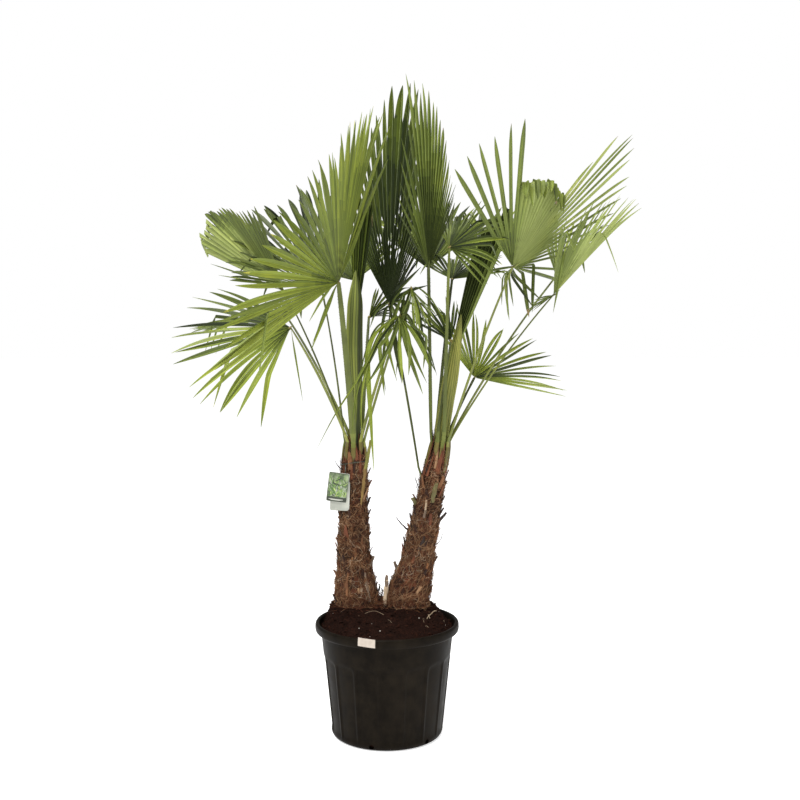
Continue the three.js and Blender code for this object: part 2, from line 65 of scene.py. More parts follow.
# Fronds: the first fields are the CAD's own. The looks are:
# thick: of the stalk, as a share. stray: unevenness of the leaflets' angles.
# blunt: share of the length after which a leaflet narrows. cells: leaflets as (last angle, number, widest half-width), or n and wide for an even fan.
# fold: steepness of the folds. fuse: share of the length over which leaflets are joined, at even
# steps across the fan. up, down: tones of the upper and lower face and their shares. tip: share of
# yellowed tips. kink: share of leaflets that are bent over. slack: how far tips stray.
# paint: (from angle, to angle, from share, to share of the length, face, tone). Apart from gold and dry tips, these are
# mostly painted shade in dark tones and painted light in bright ones.
# folds: (from angle, to angle, distance at both ends, extra length at both ends, direction, share).
# extra: single leaflets as (angle, length, half-width, tone, bend distance, bend direction).
# ribbons: loose leaflets as (tone, half-width, points).
# holes: (from angle, to angle, from share, to share, number) of small windows between leaflets.
# stalk: tones from foot to hub.
FRONDS = {
    # left_front: the lime and bright patches on its upper face are painted light
    "left_front": dict(hub=[-132, -240, 1375], dir=[-94.2, 44.9, -112.3], cup=-10.9, vee=-3.3, droop=0.129, fan=[-76.8, 85.6], len=[658, 365, 337, 400, 538], crown="L", bearing=-95, bow=14,
                       cells=[(-45, 11, 10.5), (-20, 6, 11.5), (21, 7, 12), (62, 7, 12), (85.6, 7, 11)], fold=33, blunt=0.72, fuse=[0.62, 0.50, 0.34, 0.26, 0.40],
                       up=dict(fresh=4, mid=2, light=4, bright=2), down=dict(under=1), tip=0.12, kink=0.03, slack=1.0, thick=1.7, stalk=("green", "green"),
                       paint=[(24, 60, 0.2, 1.1, "up", "lime"), (66, 90, 0.15, 1.1, "up", "bright"), (-80, -36, 0.0, 0.55, "both", "fresh"), (-80, -70, 0.0, 0.8, "both", "mid"), (26, 60, 0.93, 1.1, "both", "gold")],
                       extra=[(-79.5, 640, 13, "fresh", 0, None), (-82.5, 605, 13, "mid", 0, None), (-85.5, 555, 13, "mid", 0, None), (-88.5, 490, 12, "dusk", 0, None), (-92, 410, 12, "mid", 0, None)],
                       ribbons=[("light", 7.5, [[-136, -240, 1371], [-171, -270, 1282], [-207, -280, 1185]]), ("fresh", 6, [[-142, -230, 1366], [-161, -250, 1313], [-207, -240, 1204]]), ("light", 5.5, [[-145, -240, 1371], [-177, -260, 1326], [-213, -270, 1265]])]),
    "left_low": dict(hub=[-275, -160, 1250], dir=[-161.2, -22.6, -38.3], cup=1.1, vee=0.5, droop=0.137, blunt=0.48, fan=[50, -75.1], len=[354, 360, 351, 363, 313], crown="L", bearing=-135, bow=18,
                     n=18, wide=11, fold=33, fuse=[0.30, 0.30, 0.32, 0.30, 0.3], up=dict(mid=3, deep=2, dusk=2, bright=2, lime=1), down=dict(under=1, under_soft=1), tip=0.1, kink=0.2, slack=1.9, stalk=("lime", "lime"),
                     paint=[(10, 75, 0.2, 1.1, "up", "bright"), (-80, -44, 0.0, 1.1, "up", "dusk")],
                     ribbons=[("light", 3.2, [[-274, -160, 1249], [-259, -170, 1157], [-240, -170, 1036]])]),
    "left_far": dict(hub=[-321, 100, 1364], dir=[175.9, 42.5, 33.7], cup=4.9, vee=-6.3, droop=0.075, fan=[-32, 56], len=[401, 367, 327, 294, 336], crown="L", bearing=150, bow=16,
                     n=20, fold=16, fuse=[0.93, 0.93, 0.86, 0.72, 0.60], up=dict(mid=1), down=dict(under_light=5, under=1), tip=0.0, kink=0.0, slack=0.5, stalk=("green", "olive"),
                     folds=[(-36, -27, 338, 368, 55, 60, (0.12, 0.85, -0.5), 1.0), (-27, -6, 364, 336, 55, 60, (0.12, 0.85, -0.5), 1.0)], paint=[(-6, 60, 0.80, 1.1, "both", "dusk"), (0, 60, 0.88, 1.1, "both", "deep"), (12, 60, 0.0, 1.1, "down", "mid")],
                     extra=[(-38, 345, 5, "mid", 0, None), (-42, 300, 4, "mid", 0, None)]),
    # left_behind: its black, deep and dusk tones are painted shade, where it lies behind left_front
    "left_behind": dict(hub=[-200, 60, 1365], dir=[135.0, 46.0, -24.1], cup=6.1, vee=-5.9, droop=0.054, fan=[62.4, -30.6], len=[280, 305, 323, 363, 389, 403, 477], crown="L", bearing=-175, bow=10,
                        n=28, wide=13.5, blunt=0.80, fold=36, fuse=[0.26, 0.28, 0.30, 0.32, 0.32], up=dict(black=2, deep=5, dusk=2), down=dict(under_black=2, under_deep=5, under_dusk=2), tip=0.0, kink=0.10, slack=1.8, stalk=("green", "olive"), paint=[(30, 70, 0.0, 1.1, "both", "mid")]),
    "left_back": dict(hub=[-114, 430, 1410], dir=[100, 30, 0], cup=5, vee=5, droop=0.15, fan=[-45, 80], len=[300, 340, 370, 360, 330], crown="L", bearing=88, bow=20,
                      n=23, fold=32, fuse=[0.45, 0.45, 0.48, 0.45, 0.42], up=dict(mid=4, fresh=3, deep=2), down=dict(under_dusk=2, under_mid=1), tip=0.1, kink=0.08, slack=1.2, stalk=("lime", "green")),
    "left_back_low": dict(hub=[-334, 330, 1282], dir=[140, -4, -14], cup=6, vee=4, droop=0.2, fan=[-68, 70], len=[290, 330, 350, 340, 300], crown="L", bearing=118, bow=20,
                          n=25, fold=33, fuse=[0.4, 0.42, 0.45, 0.42, 0.38], up=dict(mid=5, light=3, deep=2), down=dict(under=1), tip=0.12, kink=0.1, slack=1.4, stalk=("lime", "green")),
    "left_inner": dict(hub=[-61, 240, 1285], dir=[30, 25, 60], cup=5, vee=4, droop=0.1, fan=[-30, 48], len=[80, 95, 115, 120, 105], crown="L", bearing=50, bow=10,
                       n=10, wide=7, fold=36, fuse=[0.35] * 5, up=dict(mid=2, deep=3), down=dict(under_deep=1), tip=0.0, kink=0.0, slack=2.0, stalk=("green", "olive")),
    # centre_tall: the deep and dusk tones on the lower part of its fan are painted shade
    "centre_tall": dict(hub=[127, 0, 1426], dir=[-50.7, 82.6, -57.4], cup=-0.9, vee=-0.2, droop=0.095, fan=[-11.9, 17.6], len=[587, 565, 520, 465, 385, 320, 285, 250, 215], crown="R", bearing=-160, bow=8,
                        n=19, wide=10.5, fold=58, fuse=[0.74, 0.76, 0.78, 0.76, 0.74, 0.70, 0.6, 0.5, 0.5], up=dict(mid=1, deep=1), down=dict(under_mid=5, under=3, under_dusk=1), tip=0.05, kink=0.0, slack=1.0, stalk=("green", "olive"),
                        paint=[(-20, 24, 0.0, 0.40, "both", "deep"), (-20, 24, 0.30, 0.55, "both", "dusk"), (-20, 11, 0.60, 1.1, "both", "light"), (11, 24, 0.0, 1.1, "both", "dusk")],
                        extra=[(-13.5, 470, 9, "mid", 0, None), (-16.5, 395, 10, "dusk", 0, None), (-20, 330, 10, "mid", 0, None), (-24, 275, 10, "deep", 0, None), (-29, 235, 9, "dusk", 0, None), (-35, 200, 8, "deep", 0, None)]),
    # centre_dark: its black, deep and dusk tones and its dark ribbons are painted shade inside the crown
    "centre_dark": dict(hub=[6, 120, 1321], dir=[115.8, 76.6, -44.0], cup=-1.9, vee=-0.3, droop=0.105, fan=[22, -41.25], len=[270, 330, 400, 535, 655, 755, 754, 480, 250, 240, 220, 190], crown="R", bearing=0, bow=8, root=[100, 70, 795],
                        n=28, wide=11, fold=57, step=15, fuse=[0.8, 0.8, 0.78, 0.72, 0.7, 0.74, 0.76, 0.8, 0.6, 0.35, 0.2, 0.2], up=dict(deep=1, dusk=1), down=dict(under_deep=3, under_dusk=2), tip=0.0, kink=0.0, slack=0.8, stalk=("olive", "dark"),
                        paint=[(-28, 30, 0.0, 0.42, "both", "black"), (-46, 30, 0.42, 0.66, "both", "deep"), (-12, 14, 0.74, 1.1, "both", "mid"), (-46, -28, 0.0, 1.1, "both", "deep")],
                        holes=[(-18, 6, 0.2, 0.46, 36)],
                        ribbons=[
                                 ("deep", 9, [[28, 80, 1360], [65, 50, 1395], [104, 30, 1434]]),
                                 ("black", 9, [[34, 80, 1344], [77, 50, 1365], [128, 30, 1379]]),
                                 ("deep", 8, [[28, 80, 1332], [61, 50, 1328], [101, 30, 1316]]),
                                 ("dusk", 8, [[15, 80, 1317], [34, 40, 1273], [55, 20, 1218]]),
                                 ("deep", 7, [[-3, 80, 1310], [-12, 50, 1267], [-24, 20, 1206]]),
                                 ("black", 9, [[34, 90, 1372], [52, 70, 1412], [58, 50, 1462]]),
                                 ("deep", 8, [[21, 80, 1323], [46, 40, 1297], [83, 20, 1261]]),
                                 ("dusk", 6, [[-13, 90, 1323], [-37, 60, 1298], [-52, 30, 1249]]),
                        ]),
    "centre_hanging": dict(hub=[40, -100, 1284], dir=[-80.4, -53.1, 8.6], cup=22.6, vee=10.1, droop=0.296, fan=[-32.2, 27.6], len=[271, 398, 338, 334, 253], crown="L", bearing=-52, bow=12,
                           n=8, wide=8.5, fold=42, stray=0.36, fuse=[0.08] * 5, up=dict(light=1, mid=4, fresh=2, deep=3, dusk=3), down=dict(under_mid=1, under=1, under_dusk=1), tip=0.1, kink=0.3, slack=3.6, stalk=("lime", "lime"),
                           ribbons=[
                                  ("bright", 9.5, [[-6, -130, 1266], [-49, -170, 1208], [-54, -190, 1180], [-46, -200, 1043], [-35, -200, 840]]),
                                  ("mid", 6.5, [[-1, -120, 1266], [-21, -140, 1231], [-18, -150, 1179], [-1, -150, 1066]]),
                                  ("light", 7, [[17, -130, 1278], [-3, -160, 1249], [8, -170, 1180], [31, -170, 1096]]),
                                  ("mid", 10, [[34, -130, 1283], [63, -160, 1214], [118, -160, 1090]]),
                                  ("dusk", 9.5, [[57, -120, 1298], [92, -150, 1225], [144, -150, 1121]]),
                                  ("deep", 9, [[28, -100, 1278], [28, -110, 1199], [46, -110, 1085]]),
                                  ("light", 4.2, [[-1, -140, 1254], [-40, -190, 1180], [-93, -230, 1079], [-140, -250, 1013], [-194, -250, 909]]),
                                  ("mid", 5, [[-6, -140, 1243], [-51, -190, 1157], [-79, -220, 1090], [-93, -230, 1011], [-96, -230, 940]]),
                                  ("light", 5, [[-12, -140, 1254], [-40, -180, 1186], [-65, -210, 1107], [-73, -220, 1022], [-68, -220, 925]]),
                                  ("deep", 5, [[40, -90, 1290], [75, -100, 1266], [128, -110, 1178], [149, -110, 1108]]),
                                  ("mid", 4, [[-12, -120, 1266], [-36, -130, 1243], [-65, -130, 1167], [-76, -140, 1098]]),
                           ]),
    "centre_low": dict(hub=[73, -60, 1367], dir=[-70, -62, 0], cup=10, vee=8, droop=0.2, fan=[-26, 26], len=[110, 145, 165, 150, 120], crown="L", bearing=-20, bow=8,
                       n=9, wide=8, fold=36, stray=0.3, fuse=[0.15] * 5, up=dict(light=1, mid=3, dusk=3, deep=2), down=dict(under=1), tip=0.05, kink=0.25, slack=3.0, stalk=("lime", "green"),
                       ribbons=[
                           ("dusk", 9, [[52, -70, 1355], [40, -90, 1243], [28, -90, 1110]]),
                           ("deep", 9, [[64, -60, 1343], [52, -70, 1278], [70, -70, 1183]]),
                           ("mid", 7, [[52, -80, 1360], [28, -100, 1295], [-7, -100, 1199], [-13, -100, 1084]]),
                           ("deep", 8, [[82, -50, 1355], [94, -50, 1296], [112, -50, 1207]]),
                           ("dusk", 6, [[76, -60, 1361], [111, -60, 1314], [147, -60, 1243]]),
                           ("mid", 5, [[88, -50, 1373], [129, -50, 1338], [171, -50, 1272]]),
                           ("deep", 7, [[46, -50, 1367], [16, -50, 1332], [4, -50, 1255]]),
                       ]),
    "centre_back": dict(hub=[135, 400, 1450], dir=[92, 45, 0], cup=5, vee=5, droop=0.12, fan=[-50, 50], len=[300, 350, 370, 350, 300], crown="R", bearing=150, bow=16,
                        n=19, fold=32, fuse=[0.45, 0.48, 0.5, 0.48, 0.45], up=dict(mid=4, light=3, deep=1), down=dict(under_deep=2, under_dusk=2, under_mid=1), tip=0.05, kink=0.05, slack=1.0, stalk=("lime", "green")),
    "right_high": dict(hub=[369, -100, 1426], dir=[-12.6, 43.0, -24.4], cup=17.2, vee=-1.9, droop=0.000, fan=[-81.2, 90.5], len=[422, 435, 450, 458, 462, 278, 262, 266, 278, 575, 600, 606, 605, 595, 580, 562, 549], crown="R", bearing=-40, bow=14,
                       cells=[(-43, 6, 7.4), (8, 11, 12), (24, 4, 7), (60, 7, 7.6), (90.5, 6, 6.5)], blunt=0.80, fold=26, fuse=[0.20, 0.20, 0.22, 0.3, 0.7, 0.85, 0.9, 0.9, 0.8, 0.36, 0.30, 0.28, 0.24, 0.20, 0.16, 0.14, 0.12],
                       up=dict(mid=3, fresh=3, dusk=1), down=dict(under_soft=4, under=3, under_mid=1), tip=0.0, kink=0.0, slack=0.35, stalk=("lime", "lime"),
                       folds=[(-43, 9, 262, 262, 85, 60, (0.02, -0.42, -0.9), 1.0), (72, 92, 150, 120, 160, 190, (0.05, -0.05, -1), 0.6)],
                       paint=[(-83, -42, 0.25, 1.1, "both", "fresh"), (-40, 16, 0.0, 0.80, "down", "under_pale"), (14, 60, 0.0, 0.5, "both", "bright"), (62, 95, 0.3, 1.1, "both", "mid")],
                       extra=[(128, 168, 5, "mid", 40, (0.03, -0.04, -1)), (140, 176, 5.5, "light", 30, (0.10, 0.0, -1)), (118, 150, 4.5, "mid", 50, (0.16, 0.1, -1)),
                              (150, 130, 4, "mid", 30, (-0.04, 0.05, -1)), (108, 190, 5, "deep", 60, (0.55, 0.2, -0.75)), (100, 210, 5.5, "mid", 80, (0.7, 0.3, -0.6))]),
    "right_far": dict(hub=[509, 40, 1349], dir=[-29.6, 45.9, 3.9], cup=9.4, vee=-0.4, droop=0.123, fan=[-53.4, 42.2], len=[432, 371, 348, 372, 460], crown="R", bearing=-8, bow=18,
                      cells=[(-5, 10, 6.2), (42.2, 11, 6.0)], fold=34, fuse=[0.14, 0.14, 0.2, 0.32, 0.6], up=dict(mid=2, deep=2, light=2), down=dict(under_mid=1, under_soft=3, under_pale=4), tip=0.05, kink=0.05, slack=1.2, stalk=("lime", "green"),
                      paint=[(-58, -14, 0.0, 1.1, "both", "fresh"), (-14, 24, 0.3, 1.1, "both", "lime"), (26, 48, 0.0, 0.95, "both", "lime")],
                      extra=[(-108, 96, 3.5, "deep", 0, None), (-120, 102, 3.5, "mid", 0, None), (-133, 104, 3.5, "deep", 0, None), (-146, 98, 3, "mid", 0, None), (-160, 88, 3, "deep", 0, None), (-174, 80, 3, "mid", 0, None)]),
    "right_low": dict(hub=[277, 160, 1091], dir=[64.0, 27.1, 33.1], cup=9.1, vee=5.8, droop=0.056, fan=[74.1, -81.9], len=[328, 303, 300, 309, 296], crown="R", bearing=52, bow=4,
                      n=22, wide=7.2, fold=36, fuse=[0.22, 0.2, 0.2, 0.22, 0.35], up=dict(mid=1, light=2, dusk=1, bright=4, lime=4), down=dict(under_soft=1, under_light=2), tip=0.02, kink=0.08, slack=1.6, stalk=("green", "olive"),
                      paint=[(-84, -60, 0.0, 1.1, "both", "bright")]),
    "right_level": dict(hub=[207, 200, 1405], dir=[66.2, 27.9, 7.6], cup=6.0, vee=-15.5, droop=0.084, fan=[52.1, -49.9], len=[237, 280, 276, 251, 261], crown="R", bearing=112, bow=10,
                        n=19, wide=8, fold=36, fuse=[0.30] * 5, up=dict(mid=3, fresh=2, deep=3, dusk=3), down=dict(under=1, under_mid=2), tip=0.03, kink=0.25, slack=2.6, stalk=("olive", "dark")),
    "right_top": dict(hub=[185, -80, 1485], dir=[-15.6, 37.5, 47.1], cup=0.4, vee=-0.9, droop=0.187, fan=[92.1, -84.6], len=[221, 182, 181, 217, 233], crown="R", bearing=-75, bow=8,
                      n=24, wide=6.8, fold=38, fuse=[0.24] * 5, up=dict(light=1, mid=4, deep=3, dusk=3), down=dict(under=1, under_mid=2), tip=0.03, kink=0.3, slack=3.2, stalk=("green", "green")),
    "right_small": dict(hub=[196, 30, 1209], dir=[172, 64, -72], cup=4, vee=6, droop=0.08, fan=[-42, 42], len=[115, 135, 165, 170, 140], crown="R", bearing=-110, bow=4,
                        n=9, wide=6.5, fold=34, fuse=[0.28] * 5, up=dict(mid=1, deep=3, dusk=2), down=dict(under_deep=1), tip=0.0, kink=0.1, slack=2.4, stalk=("olive", "olive")),
    "right_back": dict(hub=[307, 420, 1474], dir=[66, 34, 0], cup=5, vee=5, droop=0.14, fan=[-60, 60], len=[290, 340, 360, 340, 290], crown="R", bearing=82, bow=18,
                       n=22, fold=32, fuse=[0.45, 0.45, 0.48, 0.45, 0.42], up=dict(mid=3, light=3, deep=1), down=dict(under=1), tip=0.1, kink=0.06, slack=1.1, stalk=("lime", "green")),
    "right_back_far": dict(hub=[548, 260, 1416], dir=[50, 48, 0], cup=5, vee=5, droop=0.14, fan=[-44, 34], len=[210, 240, 250, 240, 210], crown="R", bearing=22, bow=22,
                           n=14, wide=10, fold=32, fuse=[0.42, 0.45, 0.45, 0.45, 0.42], up=dict(mid=3, light=2, deep=1), down=dict(under=1), tip=0.1, kink=0.06, slack=1.1, stalk=("lime", "green")),
    "right_spear": dict(hub=[180, 64, 1091], dir=[10, 72.4, -133.5], cup=1.2, vee=0.3, droop=0.142, fan=[-7.5, 5], len=[390, 513, 588, 588, 520], crown="R", bearing=0, bow=0, bare=True,
                        n=7, wide=13, fold=66, fuse=[0.9] * 5, up=dict(deep=1, black=1), down=dict(under_deep=1), tip=0.0, kink=0.0, slack=0.3,
                        paint=[(0.2, 2.6, 0.0, 0.9, "both", "dusk"), (2.4, 8, 0.0, 0.95, "both", "bright")]),
    "left_spear": dict(hub=[-100, 60, 1225], dir=[0, 86, 90], cup=0, vee=0, droop=0.06, fan=[-6, 6], len=[330, 430, 460, 430, 330], crown="L", bearing=0, bow=0, bare=True,
                       n=7, wide=13, fold=66, fuse=[0.9] * 5, up=dict(deep=1, dusk=2, mid=1), down=dict(under_dusk=2, under_mid=1), tip=0.0, kink=0.0, slack=0.4),
}


# ---------------------------------------------------------------- meshes
class Heap:
    """Gathers vertices, faces, UVs and material numbers, and makes one joined mesh of them."""

    def __init__(self):
        self.v, self.uv, self.loops, self.counts, self.mat, self.size = [], [], [], [], [], 0

    def add(self, verts, faces, mat, uv=None):
        verts = np.asarray(verts, float).reshape(-1, 3)
        self.v.append(verts)
        self.uv.append(np.zeros((len(verts), 2)) if uv is None else np.asarray(uv, float).reshape(-1, 2))
        if isinstance(faces, np.ndarray):
            self.loops.append((faces + self.size).ravel())
            self.counts.append(np.full(len(faces), faces.shape[1]))
            number = len(faces)
        else:
            self.loops.append(np.concatenate([np.asarray(f) for f in faces]) + self.size)
            self.counts.append(np.array([len(f) for f in faces]))
            number = len(faces)
        self.mat.append(np.full(number, mat) if np.isscalar(mat) else np.asarray(mat))
        self.size += len(verts)

    def build(self, name, materials, sharp=None):
        v, uv = np.concatenate(self.v), np.concatenate(self.uv)
        loops, counts = np.concatenate(self.loops), np.concatenate(self.counts)
        me = bpy.data.meshes.new(name)
        me.vertices.add(len(v))
        me.vertices.foreach_set("co", (v * 0.001).ravel())
        me.loops.add(len(loops))
        me.loops.foreach_set("vertex_index", loops.astype(np.int32))
        me.polygons.add(len(counts))
        me.polygons.foreach_set("loop_start", np.concatenate([[0], np.cumsum(counts)[:-1]]).astype(np.int32))
        me.polygons.foreach_set("material_index", np.concatenate(self.mat).astype(np.int32))
        me.update(calc_edges=True)
        me.validate()
        layer = me.uv_layers.new(name="UVMap")
        layer.data.foreach_set("uv", uv[loops].ravel())
        for m in materials:
            me.materials.append(m)
        me.polygons.foreach_set("use_smooth", np.ones(len(counts), bool))
        if sharp is not None:
            me.set_sharp_from_angle(angle=math.radians(sharp))
        ob = bpy.data.objects.new(name, me)
        bpy.context.scene.collection.objects.link(ob)
        return ob


def grid_faces(rows, cols, closed):
    """Quads of a grid of rows of points, each row closed on itself or not."""
    i = np.arange(rows - 1)[:, None]
    j = np.arange(cols if closed else cols - 1)[None, :]
    k = (j + 1) % cols
    return np.stack([i * cols + j, i * cols + k, (i + 1) * cols + k, (i + 1) * cols + j], -1).reshape(-1, 4)


def unit(v):
    return v / np.maximum(np.linalg.norm(v, axis=-1, keepdims=True), 1e-12)


def along(stations, z):
    """Smooth values between stations of height and numbers."""
    st = np.array(stations, float)
    x, z = st[:, 0], np.asarray(z, float)
    i = np.clip(np.searchsorted(x, z) - 1, 0, len(x) - 2)
    h = x[i + 1] - x[i]
    t = np.clip((z - x[i]) / h, 0, 1)
    out = []
    for c in range(1, st.shape[1]):
        y = st[:, c]
        m = np.gradient(y, x)
        out.append((2 * t**3 - 3 * t**2 + 1) * y[i] + (t**3 - 2 * t**2 + t) * h * m[i]
                   + (3 * t**2 - 2 * t**3) * y[i + 1] + (t**3 - t**2) * h * m[i + 1])
    return out


def lattice(seed, nu, nv):
    return np.random.RandomState(seed).rand(nu, nv + 2) * 2 - 1


def noise2(g, u, v):
    """Smooth noise from a grid of values, with u turning round once and v from 0 to 1."""
    nu, nv = g.shape[0], g.shape[1] - 2
    x, y = (u % 1.0) * nu, np.clip(v, 0, 1) * nv
    i, j = np.floor(x).astype(int), np.floor(y).astype(int)
    fx, fy = x - i, y - j
    fx, fy = fx * fx * (3 - 2 * fx), fy * fy * (3 - 2 * fy)
    i0, i1 = i % nu, (i + 1) % nu
    return (g[i0, j] * (1 - fx) + g[i1, j] * fx) * (1 - fy) + (g[i0, j + 1] * (1 - fx) + g[i1, j + 1] * fx) * fy


def tube(heap, path, half_w, half_t, side, mat, sides=10, flat=0.0, caps=True):
    """Tapering solid along a path. half_w and half_t: half-widths at each point, side: the direction
    of the width. flat: how far the upper side is flattened, as on a leaf stalk. mat: a number or one for each ring."""
    path = np.asarray(path, float)
    t = unit(np.gradient(path, axis=0))
    s = unit(side - (side * t).sum(-1, keepdims=True) * t)
    n = np.cross(t, s)
    a = np.linspace(0, 2 * math.pi, sides, endpoint=False) + math.pi / sides
    ca, sa = np.cos(a), np.sin(a)
    sa = np.where(sa < 0, sa, sa * (1 - flat))
    ring = (path[:, None] + s[:, None] * (ca[None, :, None] * np.asarray(half_w).reshape(-1, 1, 1))
            - n[:, None] * (sa[None, :, None] * np.asarray(half_t).reshape(-1, 1, 1)))
    rows = len(path)
    f = grid_faces(rows, sides, True)
    v = ring.reshape(-1, 3)
    length = np.concatenate([[0], np.cumsum(np.linalg.norm(np.diff(path, axis=0), axis=1))])
    uv = np.stack([np.tile(np.arange(sides) / sides, rows), np.repeat(length / 1000, sides)], -1)
    m = np.full(len(f), mat) if np.isscalar(mat) else np.repeat(np.asarray(mat)[: rows - 1], sides)
    faces = [list(q) for q in f] if caps else f
    if caps:
        faces.append(list(range(sides))[::-1])
        faces.append(list(range((rows - 1) * sides, rows * sides)))
        m = np.concatenate([m, [m[0], m[-1]]])
    heap.add(v, faces, m, uv)
    return s, n


# ---------------------------------------------------------------- materials
def rgb(*c):
    """Linear colour from 8-bit display values."""
    return tuple((x / 255 / 12.92 if x <= 10 else ((x / 255 + 0.055) / 1.055) ** 2.4) for x in c) + (1.0,)


class Mat:
    """A material being put together: its nodes, its links and its Principled shader."""

    def __init__(self, name):
        self.m = bpy.data.materials.new(name)
        self.m.use_nodes = True
        self.t = self.m.node_tree
        self.out = self.t.nodes["Material Output"]
        self.p = self.t.nodes["Principled BSDF"]

    def node(self, kind, **values):
        n = self.t.nodes.new(kind)
        for k, v in values.items():
            if k in n.inputs:
                n.inputs[k].default_value = v
            else:
                setattr(n, k, v)
        return n

    def link(self, a, b):
        self.t.links.new(a, b)

    def noise(self, scale, detail=4.0, stretch=(1, 1, 1), rough=0.55, where="Object"):
        tc = self.node("ShaderNodeTexCoord")
        mp = self.node("ShaderNodeMapping")
        mp.inputs["Scale"].default_value = stretch
        n = self.node("ShaderNodeTexNoise")
        n.inputs["Scale"].default_value = scale
        n.inputs["Detail"].default_value = detail
        n.inputs["Roughness"].default_value = rough
        self.link(tc.outputs[where], mp.inputs["Vector"])
        self.link(mp.outputs["Vector"], n.inputs["Vector"])
        return n.outputs["Fac"]

    def ramp(self, value, stops):
        r = self.node("ShaderNodeValToRGB")
        els = r.color_ramp.elements
        els[0].position, els[0].color = stops[0]
        els[1].position, els[1].color = stops[-1]
        for pos, col in stops[1:-1]:
            e = els.new(pos)
            e.color = col
        self.link(value, r.inputs["Fac"])
        return r.outputs["Color"]

    def range(self, value, lo, hi, a, b):
        r = self.node("ShaderNodeMapRange")
        for k, x in zip(("From Min", "From Max", "To Min", "To Max"), (lo, hi, a, b)):
            r.inputs[k].default_value = x
        self.link(value, r.inputs["Value"])
        return r.outputs["Result"]

    def mix(self, fac, a, b, kind="MIX"):
        m = self.node("ShaderNodeMix", data_type="RGBA", blend_type=kind)
        for s, v in ((m.inputs[0], fac), (m.inputs[6], a), (m.inputs[7], b)):
            if isinstance(v, bpy.types.NodeSocket):
                self.link(v, s)
            else:
                s.default_value = v
        return m.outputs[2]

    def bump(self, height, strength, distance):
        b = self.node("ShaderNodeBump")
        b.inputs["Strength"].default_value = strength
        b.inputs["Distance"].default_value = distance
        self.link(height, b.inputs["Height"])
        self.link(b.outputs["Normal"], self.p.inputs["Normal"])
        return b


def scaled(c, k):
    return (c[0] * k, c[1] * k, c[2] * k, 1.0)


def leaf_material(name, colour, rough=0.38, through=0.2, glow=None, spec=0.5):
    """Leaf face: long parallel veins, slow mottling, waxy sheen, and some light through it."""
    m = Mat(name)
    tc = m.node("ShaderNodeTexCoord")
    mp = m.node("ShaderNodeMapping")
    mp.inputs["Scale"].default_value = (2.0, 0.7, 1.0)
    m.link(tc.outputs["UV"], mp.inputs["Vector"])
    vein = m.node("ShaderNodeTexNoise")
    vein.inputs["Scale"].default_value = 4.0
    vein.inputs["Detail"].default_value = 3.0
    m.link(mp.outputs["Vector"], vein.inputs["Vector"])
    slow = m.noise(11.0, 3.0)
    tint = m.ramp(slow, [(0.3, scaled(colour, 0.82)), (0.55, colour), (0.75, (colour[0] * 1.22, colour[1] * 1.14, colour[2] * 1.0, 1))])
    lines = m.range(vein.outputs["Fac"], 0.35, 0.65, 0.70, 1.22)
    m.link(m.mix(1.0, tint, lines, "MULTIPLY"), m.p.inputs["Base Color"])
    m.link(m.range(slow, 0.3, 0.7, rough - 0.05, rough + 0.08), m.p.inputs["Roughness"])
    m.p.inputs["Specular IOR Level"].default_value = spec
    m.bump(vein.outputs["Fac"], 0.35, 0.0012)
    if through:
        tr = m.node("ShaderNodeBsdfTranslucent")
        tr.inputs["Color"].default_value = glow or (min(1, colour[0] * 2.1), min(1, colour[1] * 2.3), colour[2] * 1.2, 1)
        mx = m.node("ShaderNodeMixShader")
        mx.inputs[0].default_value = through
        m.link(m.p.outputs[0], mx.inputs[1])
        m.link(tr.outputs[0], mx.inputs[2])
        m.link(mx.outputs[0], m.out.inputs["Surface"])
    return m.m


def stalk_material(name, colour, rough=0.42):
    """Leaf stalk: fibres along its length, a slight wax, small scars."""
    m = Mat(name)
    fine = m.noise(60.0, 4.0, (1, 1, 0.06))
    slow = m.noise(9.0, 3.0, (1, 1, 0.5))
    tint = m.ramp(slow, [(0.3, scaled(colour, 0.78)), (0.52, colour), (0.72, (colour[0] * 1.25, colour[1] * 1.18, colour[2], 1))])
    m.link(m.mix(1.0, tint, m.range(fine, 0.35, 0.65, 0.8, 1.15), "MULTIPLY"), m.p.inputs["Base Color"])
    m.link(m.range(fine, 0.3, 0.7, rough - 0.06, rough + 0.12), m.p.inputs["Roughness"])
    m.p.inputs["Specular IOR Level"].default_value = 0.25
    m.bump(fine, 0.5, 0.0015)
    return m.m


def fibre_material(name, dark, light, rough=0.85, scale=90.0):
    """Dry fibre: streaks along the height between two browns."""
    m = Mat(name)
    streak = m.noise(scale, 5.0, (1, 1, 0.35), 0.65)
    patch = m.noise(14.0, 3.0)
    both = m.range(streak, 0.32, 0.68, 0.0, 1.0)
    c = m.mix(both, dark, light)
    m.link(m.mix(1.0, c, m.range(patch, 0.3, 0.7, 0.75, 1.15), "MULTIPLY"), m.p.inputs["Base Color"])
    m.link(m.range(streak, 0.3, 0.7, rough - 0.1, rough + 0.08), m.p.inputs["Roughness"])
    m.p.inputs["Specular IOR Level"].default_value = 0.25
    m.bump(streak, 0.7, 0.003)
    return m.m


